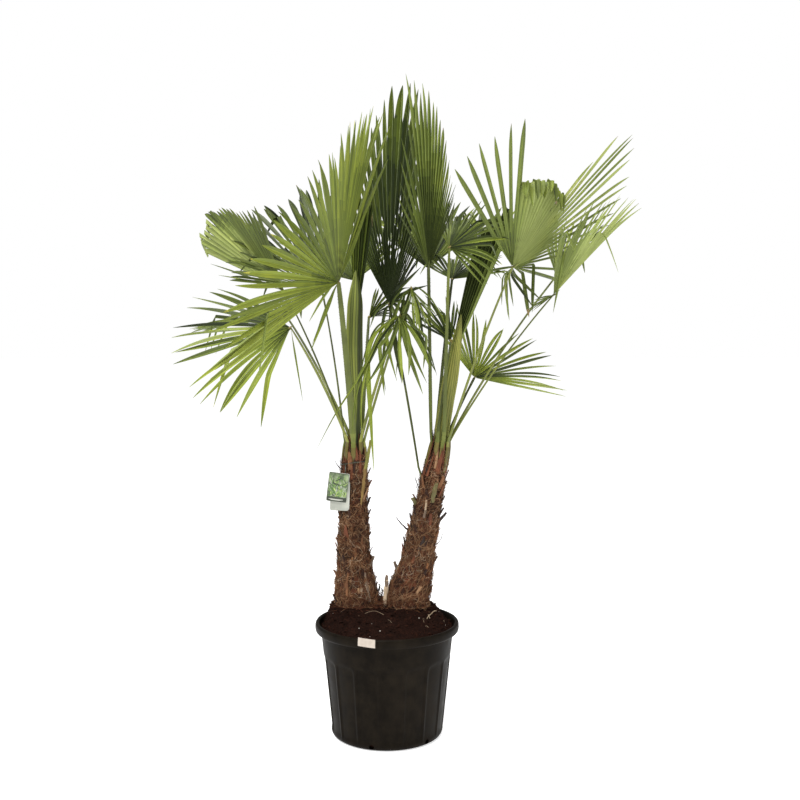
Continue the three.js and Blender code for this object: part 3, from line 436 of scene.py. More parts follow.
# tones of the upper and of the lower face, from dark to light; the dark end is largely painted shade for leaves deep in
# the crown, and the light end painted light for faces turned to the lamps
UP_SCALE = {
    "black": (0.018, 0.027, 0.0064, 1), "deep": (0.038, 0.053, 0.0096, 1), "dusk": (0.066, 0.089, 0.0144, 1), "mid": (0.098, 0.128, 0.0192, 1),
    "fresh": (0.136, 0.172, 0.0248, 1), "light": (0.180, 0.222, 0.0320, 1), "bright": (0.232, 0.280, 0.0384, 1), "lime": (0.290, 0.340, 0.0464, 1),
}
UNDER_SCALE = {
    "under_black": (0.020, 0.028, 0.0080, 1), "under_deep": (0.040, 0.054, 0.0128, 1), "under_dusk": (0.070, 0.092, 0.0200, 1), "under_mid": (0.106, 0.136, 0.0296, 1),
    "under": (0.148, 0.186, 0.0400, 1), "under_soft": (0.200, 0.246, 0.0592, 1), "under_light": (0.262, 0.312, 0.0832, 1), "under_pale": (0.340, 0.390, 0.1240, 1),
}
LEAF = list(UP_SCALE) + list(UNDER_SCALE) + ["gold", "dry"]
LEAF_AT = {k: i for i, k in enumerate(LEAF)}
leaf_mats = [leaf_material("leaf_" + k, c, 0.40, 0.06 + 0.02 * i, None, 0.28) for i, (k, c) in enumerate(UP_SCALE.items())]
leaf_mats += [leaf_material("leaf_" + k, c, 0.52, 0.06 + 0.02 * i, None, 0.18) for i, (k, c) in enumerate(UNDER_SCALE.items())]
leaf_mats += [leaf_material("leaf_gold", (0.44, 0.42, 0.085, 1), 0.5, 0.2, None, 0.25), leaf_material("leaf_dry", (0.22, 0.165, 0.08, 1), 0.6, 0.1, None, 0.2)]
# tone of the rib line within a face of each tone
RIB_TONE = np.array([1, 2, 3, 4, 5, 6, 7, 7, 9, 10, 11, 12, 13, 14, 15, 15, 16, 17])

STALK_TONES = {
    "stalk_yellow": (0.232, 0.236, 0.0520, 1),
    "stalk_lime": (0.143, 0.163, 0.0307, 1),
    "stalk_green": (0.097, 0.116, 0.0230, 1),
    "stalk_olive": (0.061, 0.074, 0.0166, 1),
    "stalk_dark": (0.030, 0.038, 0.0096, 1),
    "stalk_brown": (0.133, 0.108, 0.0256, 1),
}
stalk_mats = [stalk_material(k, c) for k, c in STALK_TONES.items()]
STALK_AT = {k: i for i, k in enumerate(STALK_TONES)}

FIBRE_TONES = {
    "fibre_bark": ((0.015, 0.006, 0.0032, 1), (0.080, 0.035, 0.0165, 1)),
    "fibre_dark": ((0.016, 0.0066, 0.004, 1), (0.050, 0.021, 0.0115, 1)),
    "fibre_brown": ((0.098, 0.041, 0.0175, 1), (0.232, 0.104, 0.045, 1)),
    "fibre_red": ((0.086, 0.026, 0.013, 1), (0.190, 0.066, 0.030, 1)),
    "fibre_tan": ((0.250, 0.135, 0.068, 1), (0.440, 0.262, 0.140, 1)),
    "fibre_pale": ((0.400, 0.285, 0.185, 1), (0.620, 0.480, 0.330, 1)),
    "stub_grey": ((0.070, 0.048, 0.034, 1), (0.260, 0.185, 0.130, 1)),
    "stub_orange": ((0.150, 0.058, 0.022, 1), (0.400, 0.180, 0.075, 1)),
    "stub_dark": ((0.018, 0.012, 0.010, 1), (0.050, 0.034, 0.026, 1)),
    "stub_green": ((0.085, 0.070, 0.028, 1), (0.210, 0.190, 0.080, 1)),
    "stub_strip": ((0.090, 0.050, 0.018, 1), (0.230, 0.150, 0.048, 1)),
    "stalk_foot": ((0.110, 0.105, 0.024, 1), (0.230, 0.220, 0.052, 1)),
}
fibre_mats = [fibre_material(k, a, b) for k, (a, b) in FIBRE_TONES.items()]
FIBRE_AT = {k: i for i, k in enumerate(FIBRE_TONES)}


# ---------------------------------------------------------------- fronds
def axes(f):
    az, el, roll = np.radians(f["dir"])
    a = np.array([math.cos(el) * math.cos(az), math.cos(el) * math.sin(az), math.sin(el)])
    n0 = np.array([-math.sin(el) * math.cos(az), -math.sin(el) * math.sin(az), math.cos(el)])
    n = n0 * math.cos(roll) + np.cross(a, n0) * math.sin(roll)
    return a, n, np.cross(n, a)


def run(f, ax, phi, S, turn=None):
    """A leaflet's midline at angle phi through distances S: points, directions, side and normal."""
    a, n, b = ax
    ph = math.radians(phi)
    k = math.radians(f["cup"] + f["vee"] * abs(math.sin(ph)))
    er, et = math.cos(ph) * a + math.sin(ph) * b, -math.sin(ph) * a + math.cos(ph) * b
    d0 = math.cos(k) * er + math.sin(k) * n
    p = np.array(f["hub"], float) + d0 * S[0]
    u = et - (et @ d0) * d0
    u = u / np.linalg.norm(u)
    P, D, U = [p], [d0], [u]
    for i in range(1, len(S)):
        s = 0.5 * (S[i] + S[i - 1])
        d = d0 - np.array([0, 0, f["droop"] * (s / 500) ** 1.5])
        if turn is not None:
            d = turn(s, d, u, np.cross(d0, u))
        d = d / np.linalg.norm(d)
        p = p + d * (S[i] - S[i - 1])
        u = u - (u @ d) * d
        u = u / np.linalg.norm(u)
        P.append(p)
        D.append(d)
        U.append(u)
    P, D, U = np.array(P), np.array(D), np.array(U)
    return P, D, U, np.cross(D, U)


def pick(r, shares):
    names = list(shares)
    w = np.array([shares[k] for k in names], float)
    return names[int(r.choice(len(names), p=w / w.sum()))]


def strap(heap, r, f, line, S, L, ph, theta, wings, lines, cuts, sgn, tones, tip):
    """One V-folded leaflet as a thin closed solid. line: its midline as run() gives it. wings: widths
    of both halves at each distance. lines, cuts: the edges that it shares with its neighbours, and
    how far each is shared."""
    P, D, U, Nn = line
    side = sgn * U
    th, bottom = theta
    M = P - bottom[:, None] * Nn
    margins = []
    for sign, w, shared, k in ((-1, wings[0], lines[0], cuts[0]), (1, wings[1], lines[1], cuts[1])):
        edge = M + sign * (w * np.cos(th))[:, None] * side + (w * np.sin(th))[:, None] * Nn
        if k:
            edge[:k] = shared[:k]
        margins.append(edge)
    a0, a1 = margins
    wide0, wide1 = np.linalg.norm(a0 - M, axis=1)[:, None], np.linalg.norm(a1 - M, axis=1)[:, None]
    wide = 0.5 * (wide0 + wide1)
    mid0 = 0.5 * (a0 + M) + 0.05 * wide * Nn
    mid1 = 0.5 * (a1 + M) + 0.05 * wide * Nn
    rb = np.clip(wide * 0.10, 0.15, 0.95)
    rib0 = M + (a0 - M) / np.maximum(wide0, 1e-6) * rb + 0.12 * rb * Nn
    rib1 = M + (a1 - M) / np.maximum(wide1, 1e-6) * rb + 0.12 * rb * Nn
    deep = np.clip(wide * 0.12, 0.22, 1.5)
    cost0 = M - deep * Nn - 0.55 * rb * side
    cost1 = M - deep * Nn + 0.55 * rb * side
    thin = np.clip(wide * 0.035, 0.12, 0.42)
    ring = np.stack([a0, mid0, rib0, rib1, mid1, a1, mid1 - thin * Nn, cost1, cost0, mid0 - thin * Nn], 1)
    rows = len(S)
    q = grid_faces(rows, 10, True)
    up, down = tones
    share = 0.5 * (S[1:] + S[:-1]) / L
    # painted areas fade into the leaflet's own tone
    up_level, down_level = np.full(rows - 1, float(up % 8)), np.full(rows - 1, float(down % 8))
    special = np.full(rows - 1, -1)
    for lo_, hi_, s0, s1, face, tone in f.get("paint", []):
        at = share + r.normal(0, 0.07)
        ease = lambda x: np.clip(x, 0, 1) ** 2 * (3 - 2 * np.clip(x, 0, 1))
        wgt = ease((ph - lo_) / 5 + 0.5) * ease((hi_ - ph) / 5 + 0.5) * ease((at - s0) / 0.26 + (1.0 if s0 <= 0 else 0.5)) * ease((s1 - at) / 0.26 + 0.5)
        if tone in ("gold", "dry"):
            special[(wgt > 0.5)] = LEAF_AT[tone]
            continue
        goal = LEAF_AT[tone] % 8
        if face in ("up", "both"):
            up_level += (goal - up_level) * wgt * 0.85
        if face in ("down", "both"):
            down_level += (goal - down_level) * wgt * 0.85
    # painted shade: each leaflet darkens a little into the fan's middle, towards the hub, and strays in tone from its
    # neighbours
    shade = 0.9 * np.exp(-S[1:] / 90.0)
    stray = [r.uniform(-0.45, 0.45), r.uniform(-0.45, 0.45)]
    # painted light and shade: the half of each fold that faces the lamps takes a lighter tone, and the other half a
    # darker one
    painted_light_dir = np.array([-0.15, -0.55, 0.82])
    n0, n1 = np.cross(M - a0, D), np.cross(a1 - M, D)
    n0, n1 = unit(n0 * np.sign((n0 * Nn).sum(1))[:, None]), unit(n1 * np.sign((n1 * Nn).sum(1))[:, None])
    painted_half_light = ((n0 - n1) @ painted_light_dir)[1:] * 1.4
    # painted shade along the edges where a leaflet is joined to its neighbours
    joined = np.clip(np.stack([(np.arange(rows - 1) < c) * 1.0 for c in cuts]), 0, 1) * 1.1
    halves = []
    for level, way, st in ((up_level, 1, stray[0]), (down_level, -1, stray[1])):
        left, right = level - shade + st + way * painted_half_light, level - shade + st - way * painted_half_light
        both = [left - joined[0], left, 0.5 * (left + right), right, right - joined[1]]
        halves.append([np.clip(np.round(x), 0, 7).astype(int) for x in both])
    m = np.stack(halves[0] + [x + 8 for x in halves[1][::-1]], 1)
    m[special >= 0] = special[special >= 0][:, None]
    if tip:
        m[-tip[0]:] = LEAF_AT[tip[1]]
    m[:, 2] = RIB_TONE[m[:, 2]]
    m[:, 7] = RIB_TONE[m[:, 7]]
    faces = [list(x) for x in q]
    faces += [list(range(10))[::-1], list(range((rows - 1) * 10, rows * 10))]
    m = np.concatenate([m.ravel(), [down, m[-1, 0]]])
    across = np.array([0, 0.25, 0.46, 0.54, 0.75, 1, 0.75, 0.54, 0.46, 0.25]) + r.uniform(0, 40)
    uv = np.stack([np.tile(across, rows), np.repeat(S / 1000 + r.uniform(0, 9), 10)], -1)
    if sgn > 0:
        faces = [x[::-1] for x in faces]
    heap.add(ring.reshape(-1, 3), faces, m, uv)


def frond(name, f, seed):
    """Fan of V-folded leaflets, joined edge to edge near the hub."""
    r = np.random.RandomState(seed)
    heap = Heap()
    ax = axes(f)
    f0, f1 = f["fan"]
    sgn = 1.0 if f1 > f0 else -1.0
    B, wides = [f0], []
    for end, count, wide in f.get("cells", [(f1, f.get("n", 10), f.get("wide", 12.0))]):
        a0 = B[-1]
        for i in range(count):
            B.append(a0 + (end - a0) * (i + 1) / count)
            wides.append(wide)
    B = np.array(B)
    pitch = np.diff(B)
    stray = f.get("stray", 0.09)
    B[1:-1] += r.uniform(-stray, stray, len(B) - 2) * pitch[1:]
    pitch = np.abs(np.diff(B))
    N = len(wides)
    value = lambda key, ph: float(np.interp((ph - f0) / (f1 - f0), np.linspace(0, 1, len(f[key])), f[key]))
    top = max(f["len"])
    step = f.get("step", max(top / 26.0, 12.0))
    common = np.concatenate([[6.0, 14.0, 26.0], np.arange(26.0 + step, top + step, step)])
    theta = lambda s: np.radians(f["fold"] + (68 - f["fold"]) * np.exp(-np.asarray(s) / 60.0))
    half = lambda s, p: np.asarray(s) * math.sin(math.radians(p / 2))
    depth = lambda s, p: 0.5 * half(s, p) * np.tan(theta(s))
    mean = np.concatenate([[pitch[0]], 0.5 * (pitch[1:] + pitch[:-1]), [pitch[-1]]])
    edge_line, split = [], []
    for j in range(N + 1):
        P, D, U, Nn = run(f, ax, B[j], common)
        edge_line.append(P + depth(common, mean[j])[:, None] * Nn)
        split.append(value("len", B[j]) * value("fuse", B[j]) * (1 + r.uniform(-0.10, 0.10)))
    split[0] = split[-1] = 0.0
    # small windows, where two neighbours' edges part for one station
    gaps = {}
    for lo_, hi_, s0, s1, number in f.get("holes", []):
        for _ in range(number):
            j = int(np.argmin(np.abs(B - r.uniform(lo_, hi_))))
            s = r.uniform(s0, s1) * value("len", B[j])
            gaps.setdefault(j, []).append((int(np.argmin(np.abs(common - s))), r.uniform(1.5, 2.7)))
    for j in range(N):
        ph = 0.5 * (B[j] + B[j + 1])
        L = value("len", ph) * (1 - abs(r.normal(0, 0.035)))
        fold_at, D1 = None, None
        for lo_, hi_, at0, at1, ex0, ex1, way, chance in f.get("folds", []):
            if lo_ <= ph <= hi_ and r.rand() < chance:
                g = (ph - lo_) / (hi_ - lo_)
                fold_at = (at0 + (at1 - at0) * g) * (1 + r.uniform(-0.035, 0.035))
                L = fold_at + (ex0 + (ex1 - ex0) * g) * r.uniform(0.6, 1.2)
                D1 = unit(np.array(way, float) + np.array([r.normal(0, 0.07), r.normal(0, 0.07), 0]))
        rl, rr = split[j], split[j + 1]
        if fold_at:
            S = common[common < fold_at - 6]
            S = np.concatenate([S, fold_at + np.array([-2.5, 1.0, 4.5, 8.5]), fold_at + 8.5 + (L - fold_at - 8.5) * np.linspace(0, 1, 6)[1:]])
            rl, rr = min(rl, fold_at - 6), min(rr, fold_at - 6)
        else:
            S = common[common < L - 0.35 * step]
            S = np.concatenate([S, [S[-1] + (L - S[-1]) * 0.4, S[-1] + (L - S[-1]) * 0.75, L]])
        start = max(rl, rr, 0.2 * L)
        slack = f["slack"]
        drift, lift, sag = r.normal(0, 0.055) * slack, r.normal(0, 0.05) * slack, abs(r.normal(0, 0.06)) * slack
        twist = math.radians(r.normal(0, 14) * slack)
        kink = (not fold_at) and r.rand() < f["kink"]
        at = r.uniform(0.5, 0.8) * L
        fall = np.array([r.normal(0, 0.3), r.normal(0, 0.3), -r.uniform(0.9, 2.6)])

        def turn(s, d, u, nn):
            g = max(0.0, (s - start) / max(L - start, 1))
            d = d + drift * g * u + lift * g * nn - np.array([0, 0, sag * g**1.5])
            if kink and s > at:
                d = d + fall * min(1.0, (s - at) / 25.0 + 0.35)
            if fold_at and s > fold_at - 1:
                k = min(1.0, (s - fold_at + 2) / 8.0)
                d = (1 - k) * d + k * D1
            return d

        P, D, U, Nn = run(f, ax, ph, S, turn)
        g = np.clip((S - start) / max(L - start, 1), 0, 1)
        th_free = math.radians(np.clip(r.normal(f["fold"] + 2, 6), 12, 70))
        th = theta(S) + (th_free - theta(S)) * (1 - np.exp(-np.clip(S - start, 0, None) / 60.0))
        tw = twist * g
        U, Nn = np.cos(tw)[:, None] * U + (sgn * np.sin(tw))[:, None] * Nn, np.cos(tw)[:, None] * Nn - (sgn * np.sin(tw))[:, None] * U
        wing = half(S, pitch[j]) / np.cos(theta(S))
        cap = wides[j] * r.uniform(0.9, 1.08)
        from_ = max(start, f.get("blunt", 0.60) * L)
        if fold_at:
            from_ = max(from_, fold_at + 5)
        taper = 1 - 0.95 * np.clip((S - from_) / (L - from_), 0, 1) ** r.uniform(1.9, 2.6)
        wings, lines, cuts = [], [], []
        for cut, jj in ((rl, j), (rr, j + 1)):
            here = float(half(cut, pitch[j]) / np.cos(theta(cut))) if cut > 0 else 0.0
            goal = np.minimum(wing * 0.97, np.maximum(cap, here * 0.86))
            relax = 1 - np.exp(-np.clip(S - cut, 0, None) / 55.0)
            w = np.where(S <= cut, wing, (np.minimum(wing, max(here, 0.1)) * (1 - relax) + goal * relax) * taper)
            wings.append(np.maximum(w, 0.4))
            k = int((S <= cut).sum()) if cut > 0 else 0
            shared = edge_line[jj]
            for i, wide in gaps.get(jj, []):
                if 2 < i < k - 1:
                    shared = shared.copy()
                    shared[i] = shared[i] + unit(P[i] - shared[i]) * wide
            lines.append(shared)
            cuts.append(k)
        tones = (LEAF_AT[pick(r, f["up"])], LEAF_AT[pick(r, f["down"])])
        tip = None
        if r.rand() < f["tip"]:
            tip = (r.randint(1, 4), "gold")
        elif r.rand() < 0.15:
            tip = (1, "dry")
        strap(heap, r, f, (P, D, U, Nn), S, L, ph, (th, depth(np.minimum(S, start), pitch[j])), wings, lines, cuts, sgn, tones, tip)
    for ph, L, wide, tone, at, way in f.get("extra", []):
        S = np.concatenate([[6.0, 14.0, 26.0], np.linspace(40, L, max(7, int(L / 14)))])
        D1 = None if way is None else unit(np.array(way, float))
        bow = r.normal(0, 0.05)

        def turn(s, d, u, nn):
            d = d + bow * (s / L) * nn
            if D1 is not None and s > at:
                k = min(1.0, (s - at) / 30.0)
                d = (1 - k) * d + k * D1
            return d

        P, D, U, Nn = run(f, ax, ph, S, turn)
        w = wide * np.clip(S / (0.35 * L), 0.12, 1) * (1 - 0.94 * np.clip((S / L - 0.5) / 0.5, 0, 1) ** 2.2)
        th = np.radians(f["fold"] + 25 * np.exp(-S / 50.0))
        up = LEAF_AT[tone]
        down = up + 8
        strap(heap, r, {}, (P, D, U, Nn), S, L, ph, (th, 0 * S), (w, w), (None, None), (0, 0), sgn, (up, down), None)
    for tone, wide, points in f.get("ribbons", []):
        points = np.array([f["hub"]] + list(points), float)
        k = np.concatenate([[0], np.cumsum(np.linalg.norm(np.diff(points, axis=0), axis=1))])
        S = np.linspace(3, k[-1], 26)
        P = np.stack([np.interp(S, k, points[:, i]) for i in range(3)], -1)
        for _ in range(6):
            P[1:-1] = 0.25 * P[:-2] + 0.5 * P[1:-1] + 0.25 * P[2:]
        D = unit(np.gradient(P, axis=0))
        look = unit(np.array([r.uniform(-0.5, 0.5), -1.0, 0.35]))
        U = unit(np.cross(D, look))
        tw = np.linspace(0, r.uniform(-0.9, 0.9), len(S))
        Nn = np.cross(D, U)
        if (Nn @ look).mean() < 0:
            U, Nn = -U, -Nn
        U, Nn = np.cos(tw)[:, None] * U + np.sin(tw)[:, None] * Nn, np.cos(tw)[:, None] * Nn - np.sin(tw)[:, None] * U
        w = wide * np.clip(S / (0.3 * S[-1]), 0.25, 1) * (1 - 0.94 * np.clip((S / S[-1] - 0.4) / 0.6, 0, 1) ** 1.5)
        th = np.radians(34 + 25 * np.exp(-S / 50.0))
        up = LEAF_AT[tone]
        strap(heap, r, {}, (P, D, U, Nn), S, S[-1], 0.0, (th, 0 * S), (w, w), (None, None), (0, 0), 1.0, (up, up + 8), None)
    ob = heap.build(name + "_leaflets", leaf_mats, 24)
    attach(ob, "root")
    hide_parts(name + "_blade")
    return ob


def narrowing(Z):
    """How far the mat draws in near the top, where the leaf stalks stand on it."""
    thin = np.clip((np.asarray(Z, float) - 790) / 70, 0, 1)
    return 6.5 * thin * thin * (3 - 2 * thin) + 15.0 * np.clip((Z - 846) / 58, 0, 1) ** 1.3


def bezier(p0, p1, p2, t):
    t = np.asarray(t)[:, None]
    return (1 - t) ** 2 * p0 + 2 * t * (1 - t) * p1 + t * t * p2


def stalk(name, f, seed):
    """Leaf stalk: a D-shaped tapering limb that clasps the trunk, with fine teeth on its margins."""
    r = np.random.RandomState(seed)
    heap = Heap()
    ax = axes(f)
    z, x, y, _ = TRUNK[f["crown"]][-1]
    hub = np.array(f["hub"], float)
    be = math.radians(f["bearing"])
    out = np.array([math.cos(be), math.sin(be), 0])
    foot = np.array(f["root"], float) if "root" in f else np.array([x, y, z + 2.5]) + PETIOLE_RING_R * out
    way = hub - foot
    mid = foot + way * 0.5
    flat = np.array([way[0], way[1], 0])
    flat = flat / np.linalg.norm(flat)
    mid = mid + np.array([0, 0, f["bow"]]) - flat * f["bow"]
    end = hub - 3 * way / np.linalg.norm(way)
    t = np.linspace(0, 1, 28)
    path = bezier(foot, mid, end, t)
    w = (5.6 + (3.7 - 5.6) * t) * f.get("thick", 1.0)
    if "root" not in f:
        low = [(790, -1.5, 4.0), (808, -0.5, 5.4), (830, 0.0, 6.4), (856, 0.0, 6.8), (880, -0.5, 6.6), (897, -2.0, 6.2)]
        # those in front end under the fibre of the sheaths
        drop = int(r.randint(0, 2)) + (2 if -150 < f["bearing"] < -40 else 0)
        pts, ws = [], []
        for i, (zz, extra, ww) in enumerate(low[drop:]):
            cx, cy, rr = along(TRUNK[f["crown"]], [zz])
            # the foot comes out from under the fibre and follows the mat as it draws in
            rad_ = rr[0] + extra - 3 - 0.3 * float(narrowing(zz)) - (7.0 if i == 0 else 0.0)
            pts.append([cx[0] + rad_ * out[0], cy[0] + rad_ * out[1], zz])
            ws.append(ww * (0.6 if i == 0 else 1.0))
    else:
        # this stalk comes out of the side of the trunk
        pts = [foot + np.array([30.0, 2.0, -42.0]), foot + np.array([18.0, 1.0, -26.0]), foot + np.array([7.0, 0.0, -11.0])]
        ws = [5.4, 6.0, 6.0]
    path = np.concatenate([np.array(pts), path[1:]])
    w = np.concatenate([ws, w[1:]])
    # tones run from yellow at the foot to the frond's own at the hub
    scale = ["yellow", "lime", "green", "olive", "dark"]
    s0, s1 = scale.index(f["stalk"][0]), scale.index(f["stalk"][1])
    g = np.linspace(0, 1, len(path))
    first = max(0, s0 - 1)
    level = np.where(g < 0.25, first + (s0 - first) * g / 0.25, s0 + (s1 - s0) * np.clip((g - 0.25) / 0.6, 0, 1))
    tone = np.array([STALK_AT["stalk_" + scale[int(round(v))]] for v in level])
    tone[:len(pts) - 1 - int(r.randint(0, 2))] = STALK_AT["stalk_brown"]
    # the stalk runs on as a ridge under the middle of the blade
    tail = [end + ax[0] * d - ax[1] * (2.6 + 0.02 * d) for d in (8.0, 18.0, 30.0)]
    path = np.concatenate([path, tail])
    w = np.concatenate([w, [2.9, 1.9, 0.8]])
    tone = np.concatenate([tone, [tone[-1]] * 3])
    # the flat of the stalk turns from the trunk's tangent at the foot to lie level across its own run
    ahead = unit(np.gradient(path, axis=0))
    tangent, level_ = np.array([-out[1], out[0], 0]), np.array([-flat[1], flat[0], 0])
    if tangent @ level_ < 0:
        tangent = -tangent
    g = np.clip((np.arange(len(path)) - len(pts) + 1) / 9.0, 0, 1)[:, None]
    side = unit(tangent * (1 - g) + level_ * g)
    side = unit(side - (side * ahead).sum(1, keepdims=True) * ahead)
    last = ax[2]
    blend = np.clip((np.arange(len(path)) / (len(path) - 1) - 0.7) / 0.3, 0, 1)[:, None]
    if side[-1] @ last < 0:
        last = -last
    side = unit(side * (1 - blend) + last * blend)
    s, n = tube(heap, path, w * 1.1, w * 0.72, side, tone, sides=12, flat=0.35)
    for i in range(9, len(path) - 5):
        for sg in (-1, 1):
            for k in range(2):
                g = (k + r.rand()) / 2
                p = path[i] * (1 - g) + path[i + 1] * g
                d = unit(path[i + 1] - path[i])
                edge = p + sg * s[i] * w[i] * 1.05
                tip_ = edge + sg * s[i] * r.uniform(0.8, 1.5) + d * r.uniform(0.5, 1.5)
                heap.add([edge - d * 1.4, edge + d * 1.4, edge + n[i] * 0.8, tip_], np.array([[0, 1, 3], [1, 2, 3], [2, 0, 3], [0, 2, 1]]), int(tone[i]))
    # the small raised tongue where the leaflets meet the stalk
    a, nn, b = ax
    k = np.linspace(0, 1, 7)
    prof = np.sin(np.pi * (0.12 + 0.88 * (1 - k))) * 0.9 + 0.1
    line = hub[None] + a[None] * (k[:, None] * 13 - 6) + nn[None] * (2.2 - 1.8 * k[:, None])
    tube(heap, line, prof * 3.6, prof * 1.5, np.repeat(b[None], 7, 0), STALK_AT["stalk_brown"], sides=10)
    ob = heap.build(name + "_stalk", stalk_mats, 38)
    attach(ob, "root")
    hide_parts(name + "_petiole")
    return ob


for i, (name, f) in enumerate(FRONDS.items()):
    frond(name, f, 500 + 7 * i)
    if not f.get("bare"):
        stalk(name, f, 900 + 7 * i)


# ---------------------------------------------------------------- young stalks at the heart of each crown
def column(key, seed, tones, shade, ribs, depth, turn):
    """Bundle of unopened leaves: a pleated, tapering and slightly twisted column, with painted shade in the grooves
    between its ridges and down one side.
    """
    r = np.random.RandomState(seed)
    heap = Heap()
    st = COLUMN[key]
    end = st[-1][0] + 95
    z = np.linspace(st[0][0] - 40, end, 60)
    cx, cy, rr = along(st, np.clip(z, st[0][0], st[-1][0]))
    slope = (np.array(st[-1][1:3]) - np.array(st[-2][1:3])) / (st[-1][0] - st[-2][0])
    over = np.clip(z - st[-1][0], 0, None)
    cx, cy = cx + over * slope[0], cy + over * slope[1]
    shut = np.clip((z - (st[-1][0] - 15)) / (end - st[-1][0] + 15), 0, 1)
    rr = rr * (1 - 0.9 * shut**1.5)
    per = 8
    na = ribs * per
    a = np.linspace(0, 2 * math.pi, na, endpoint=False)
    A, Z = np.meshgrid(a, np.arange(len(z)))
    rib = np.abs(((A / (2 * math.pi) * ribs) % 1) - 0.5) * 2
    shift = noise2(lattice(seed, 9, 6), A / (2 * math.pi), Z / len(z))
    t = Z / (len(z) - 1)
    open_ = np.clip(rr[Z] / 24, 0, 1)
    rad_ = rr[Z] - 2.5 * open_ + depth * open_ * (0.5 - rib) * 2 * (0.6 + 0.4 * np.sin(A * 2 + 1)) + 1.3 * shift * open_
    tw = A + turn * t
    v = np.stack([cx[Z] + rad_ * np.cos(tw), cy[Z] + rad_ * np.sin(tw), z[Z]], -1)
    f = grid_faces(len(z), na, True)
    j = np.arange(na)
    which = (j // per) % ribs
    choice = [pick(r, tones) for _ in range(ribs)]
    # painted shade: the grooves between the ribs take a darker tone than the ridges
    groove_shade = {"stalk_yellow": "stalk_green", "stalk_lime": "stalk_olive", "stalk_green": "stalk_dark", "stalk_olive": "stalk_dark", "stalk_dark": "stalk_dark"}
    pos = np.abs((j % per) + 0.5 - per / 2) / (per / 2)
    m = np.array([STALK_AT[groove_shade[choice[w]] if p > 0.7 else choice[w]] for w, p in zip(which, pos)])
    # painted shade down one side of the bundle, between the bearings given as shade: there each tone goes one step
    # darker
    dark = {STALK_AT[x]: STALK_AT[y] for x, y in (("stalk_yellow", "stalk_green"), ("stalk_lime", "stalk_olive"), ("stalk_green", "stalk_olive"), ("stalk_olive", "stalk_dark"), ("stalk_dark", "stalk_dark"))}
    bearing = (np.degrees(a) + 180) % 360 - 180
    for i in range(na):
        if shade[0] <= bearing[i] <= shade[1]:
            m[i] = dark[m[i]]
    m = np.tile(m, len(z) - 1)
    faces = [list(q) for q in f]
    faces += [list(range(na))[::-1], list(range((len(z) - 1) * na, len(z) * na))]
    m = np.concatenate([m, [m[0], m[0]]])
    uv = np.stack([(A / (2 * math.pi)).ravel(), (z[Z] / 1000).ravel()], -1)
    heap.add(v.reshape(-1, 3), faces, m, uv)
    ob = heap.build("stalks_" + {"L": "left", "R": "right"}[key] + "_bundle", stalk_mats, 50)
    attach(ob, "root")
    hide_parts("stalks_" + {"L": "left", "R": "right"}[key])
    return ob


column("L", 31, dict(stalk_lime=1, stalk_green=4, stalk_olive=4), (-80, 60), 15, 2.4, 0.4)
column("R", 32, dict(stalk_green=1, stalk_lime=4, stalk_yellow=9, stalk_olive=1), (100, 180), 16, 2.4, -0.3)


# ---------------------------------------------------------------- trunks
TRUNK_SEED = {"L": 70, "R": 170}


def bark_radius(key, A, Z, seed):
    """Radius of the matted trunk at bearing A and height Z: overlapping leaf bases and coarse fibre."""
    st = TRUNK[key]
    cx, cy, rr = along(st, Z)
    z0, z1 = st[0][0], st[-1][0]
    v = (Z - z0) / (z1 - z0)
    u = A / (2 * math.pi)
    scale = np.zeros_like(rr)
    r = np.random.RandomState(seed)
    for i in range(30):
        at = (i * 2.3999 + r.uniform(-0.2, 0.2)) % (2 * math.pi)
        zt = z0 + 10 + (z1 - z0 - 5) * i / 29 + r.uniform(-6, 6)
        da = (A - at + math.pi) % (2 * math.pi) - math.pi
        w = np.exp(-((da / 0.62) ** 2))
        h = Z - (zt - 85)
        lift = np.clip(h / 85, 0, 1) ** 1.6 * np.clip(1 - (Z - zt) / 10, 0, 1)
        scale = np.maximum(scale, w * lift * r.uniform(0.65, 1.15))
    d = 8.4 * (scale - 0.56)
    d += 2.0 * noise2(lattice(seed + 1, 11, 13), u, v)
    d += 1.8 * noise2(lattice(seed + 2, 30, 36), u, v)
    d += 1.3 * noise2(lattice(seed + 3, 84, 24), u + 0.55 * v, v)
    d += 1.3 * noise2(lattice(seed + 4, 84, 24), u - 0.55 * v, v)
    d += 0.9 * noise2(lattice(seed + 5, 120, 40), u, v)
    d += 0.6 * noise2(lattice(seed + 6, 150, 170), u, v)
    d -= narrowing(Z) + 3.5 * np.clip((Z - 600) / 120, 0, 1)
    return cx, cy, rr + d


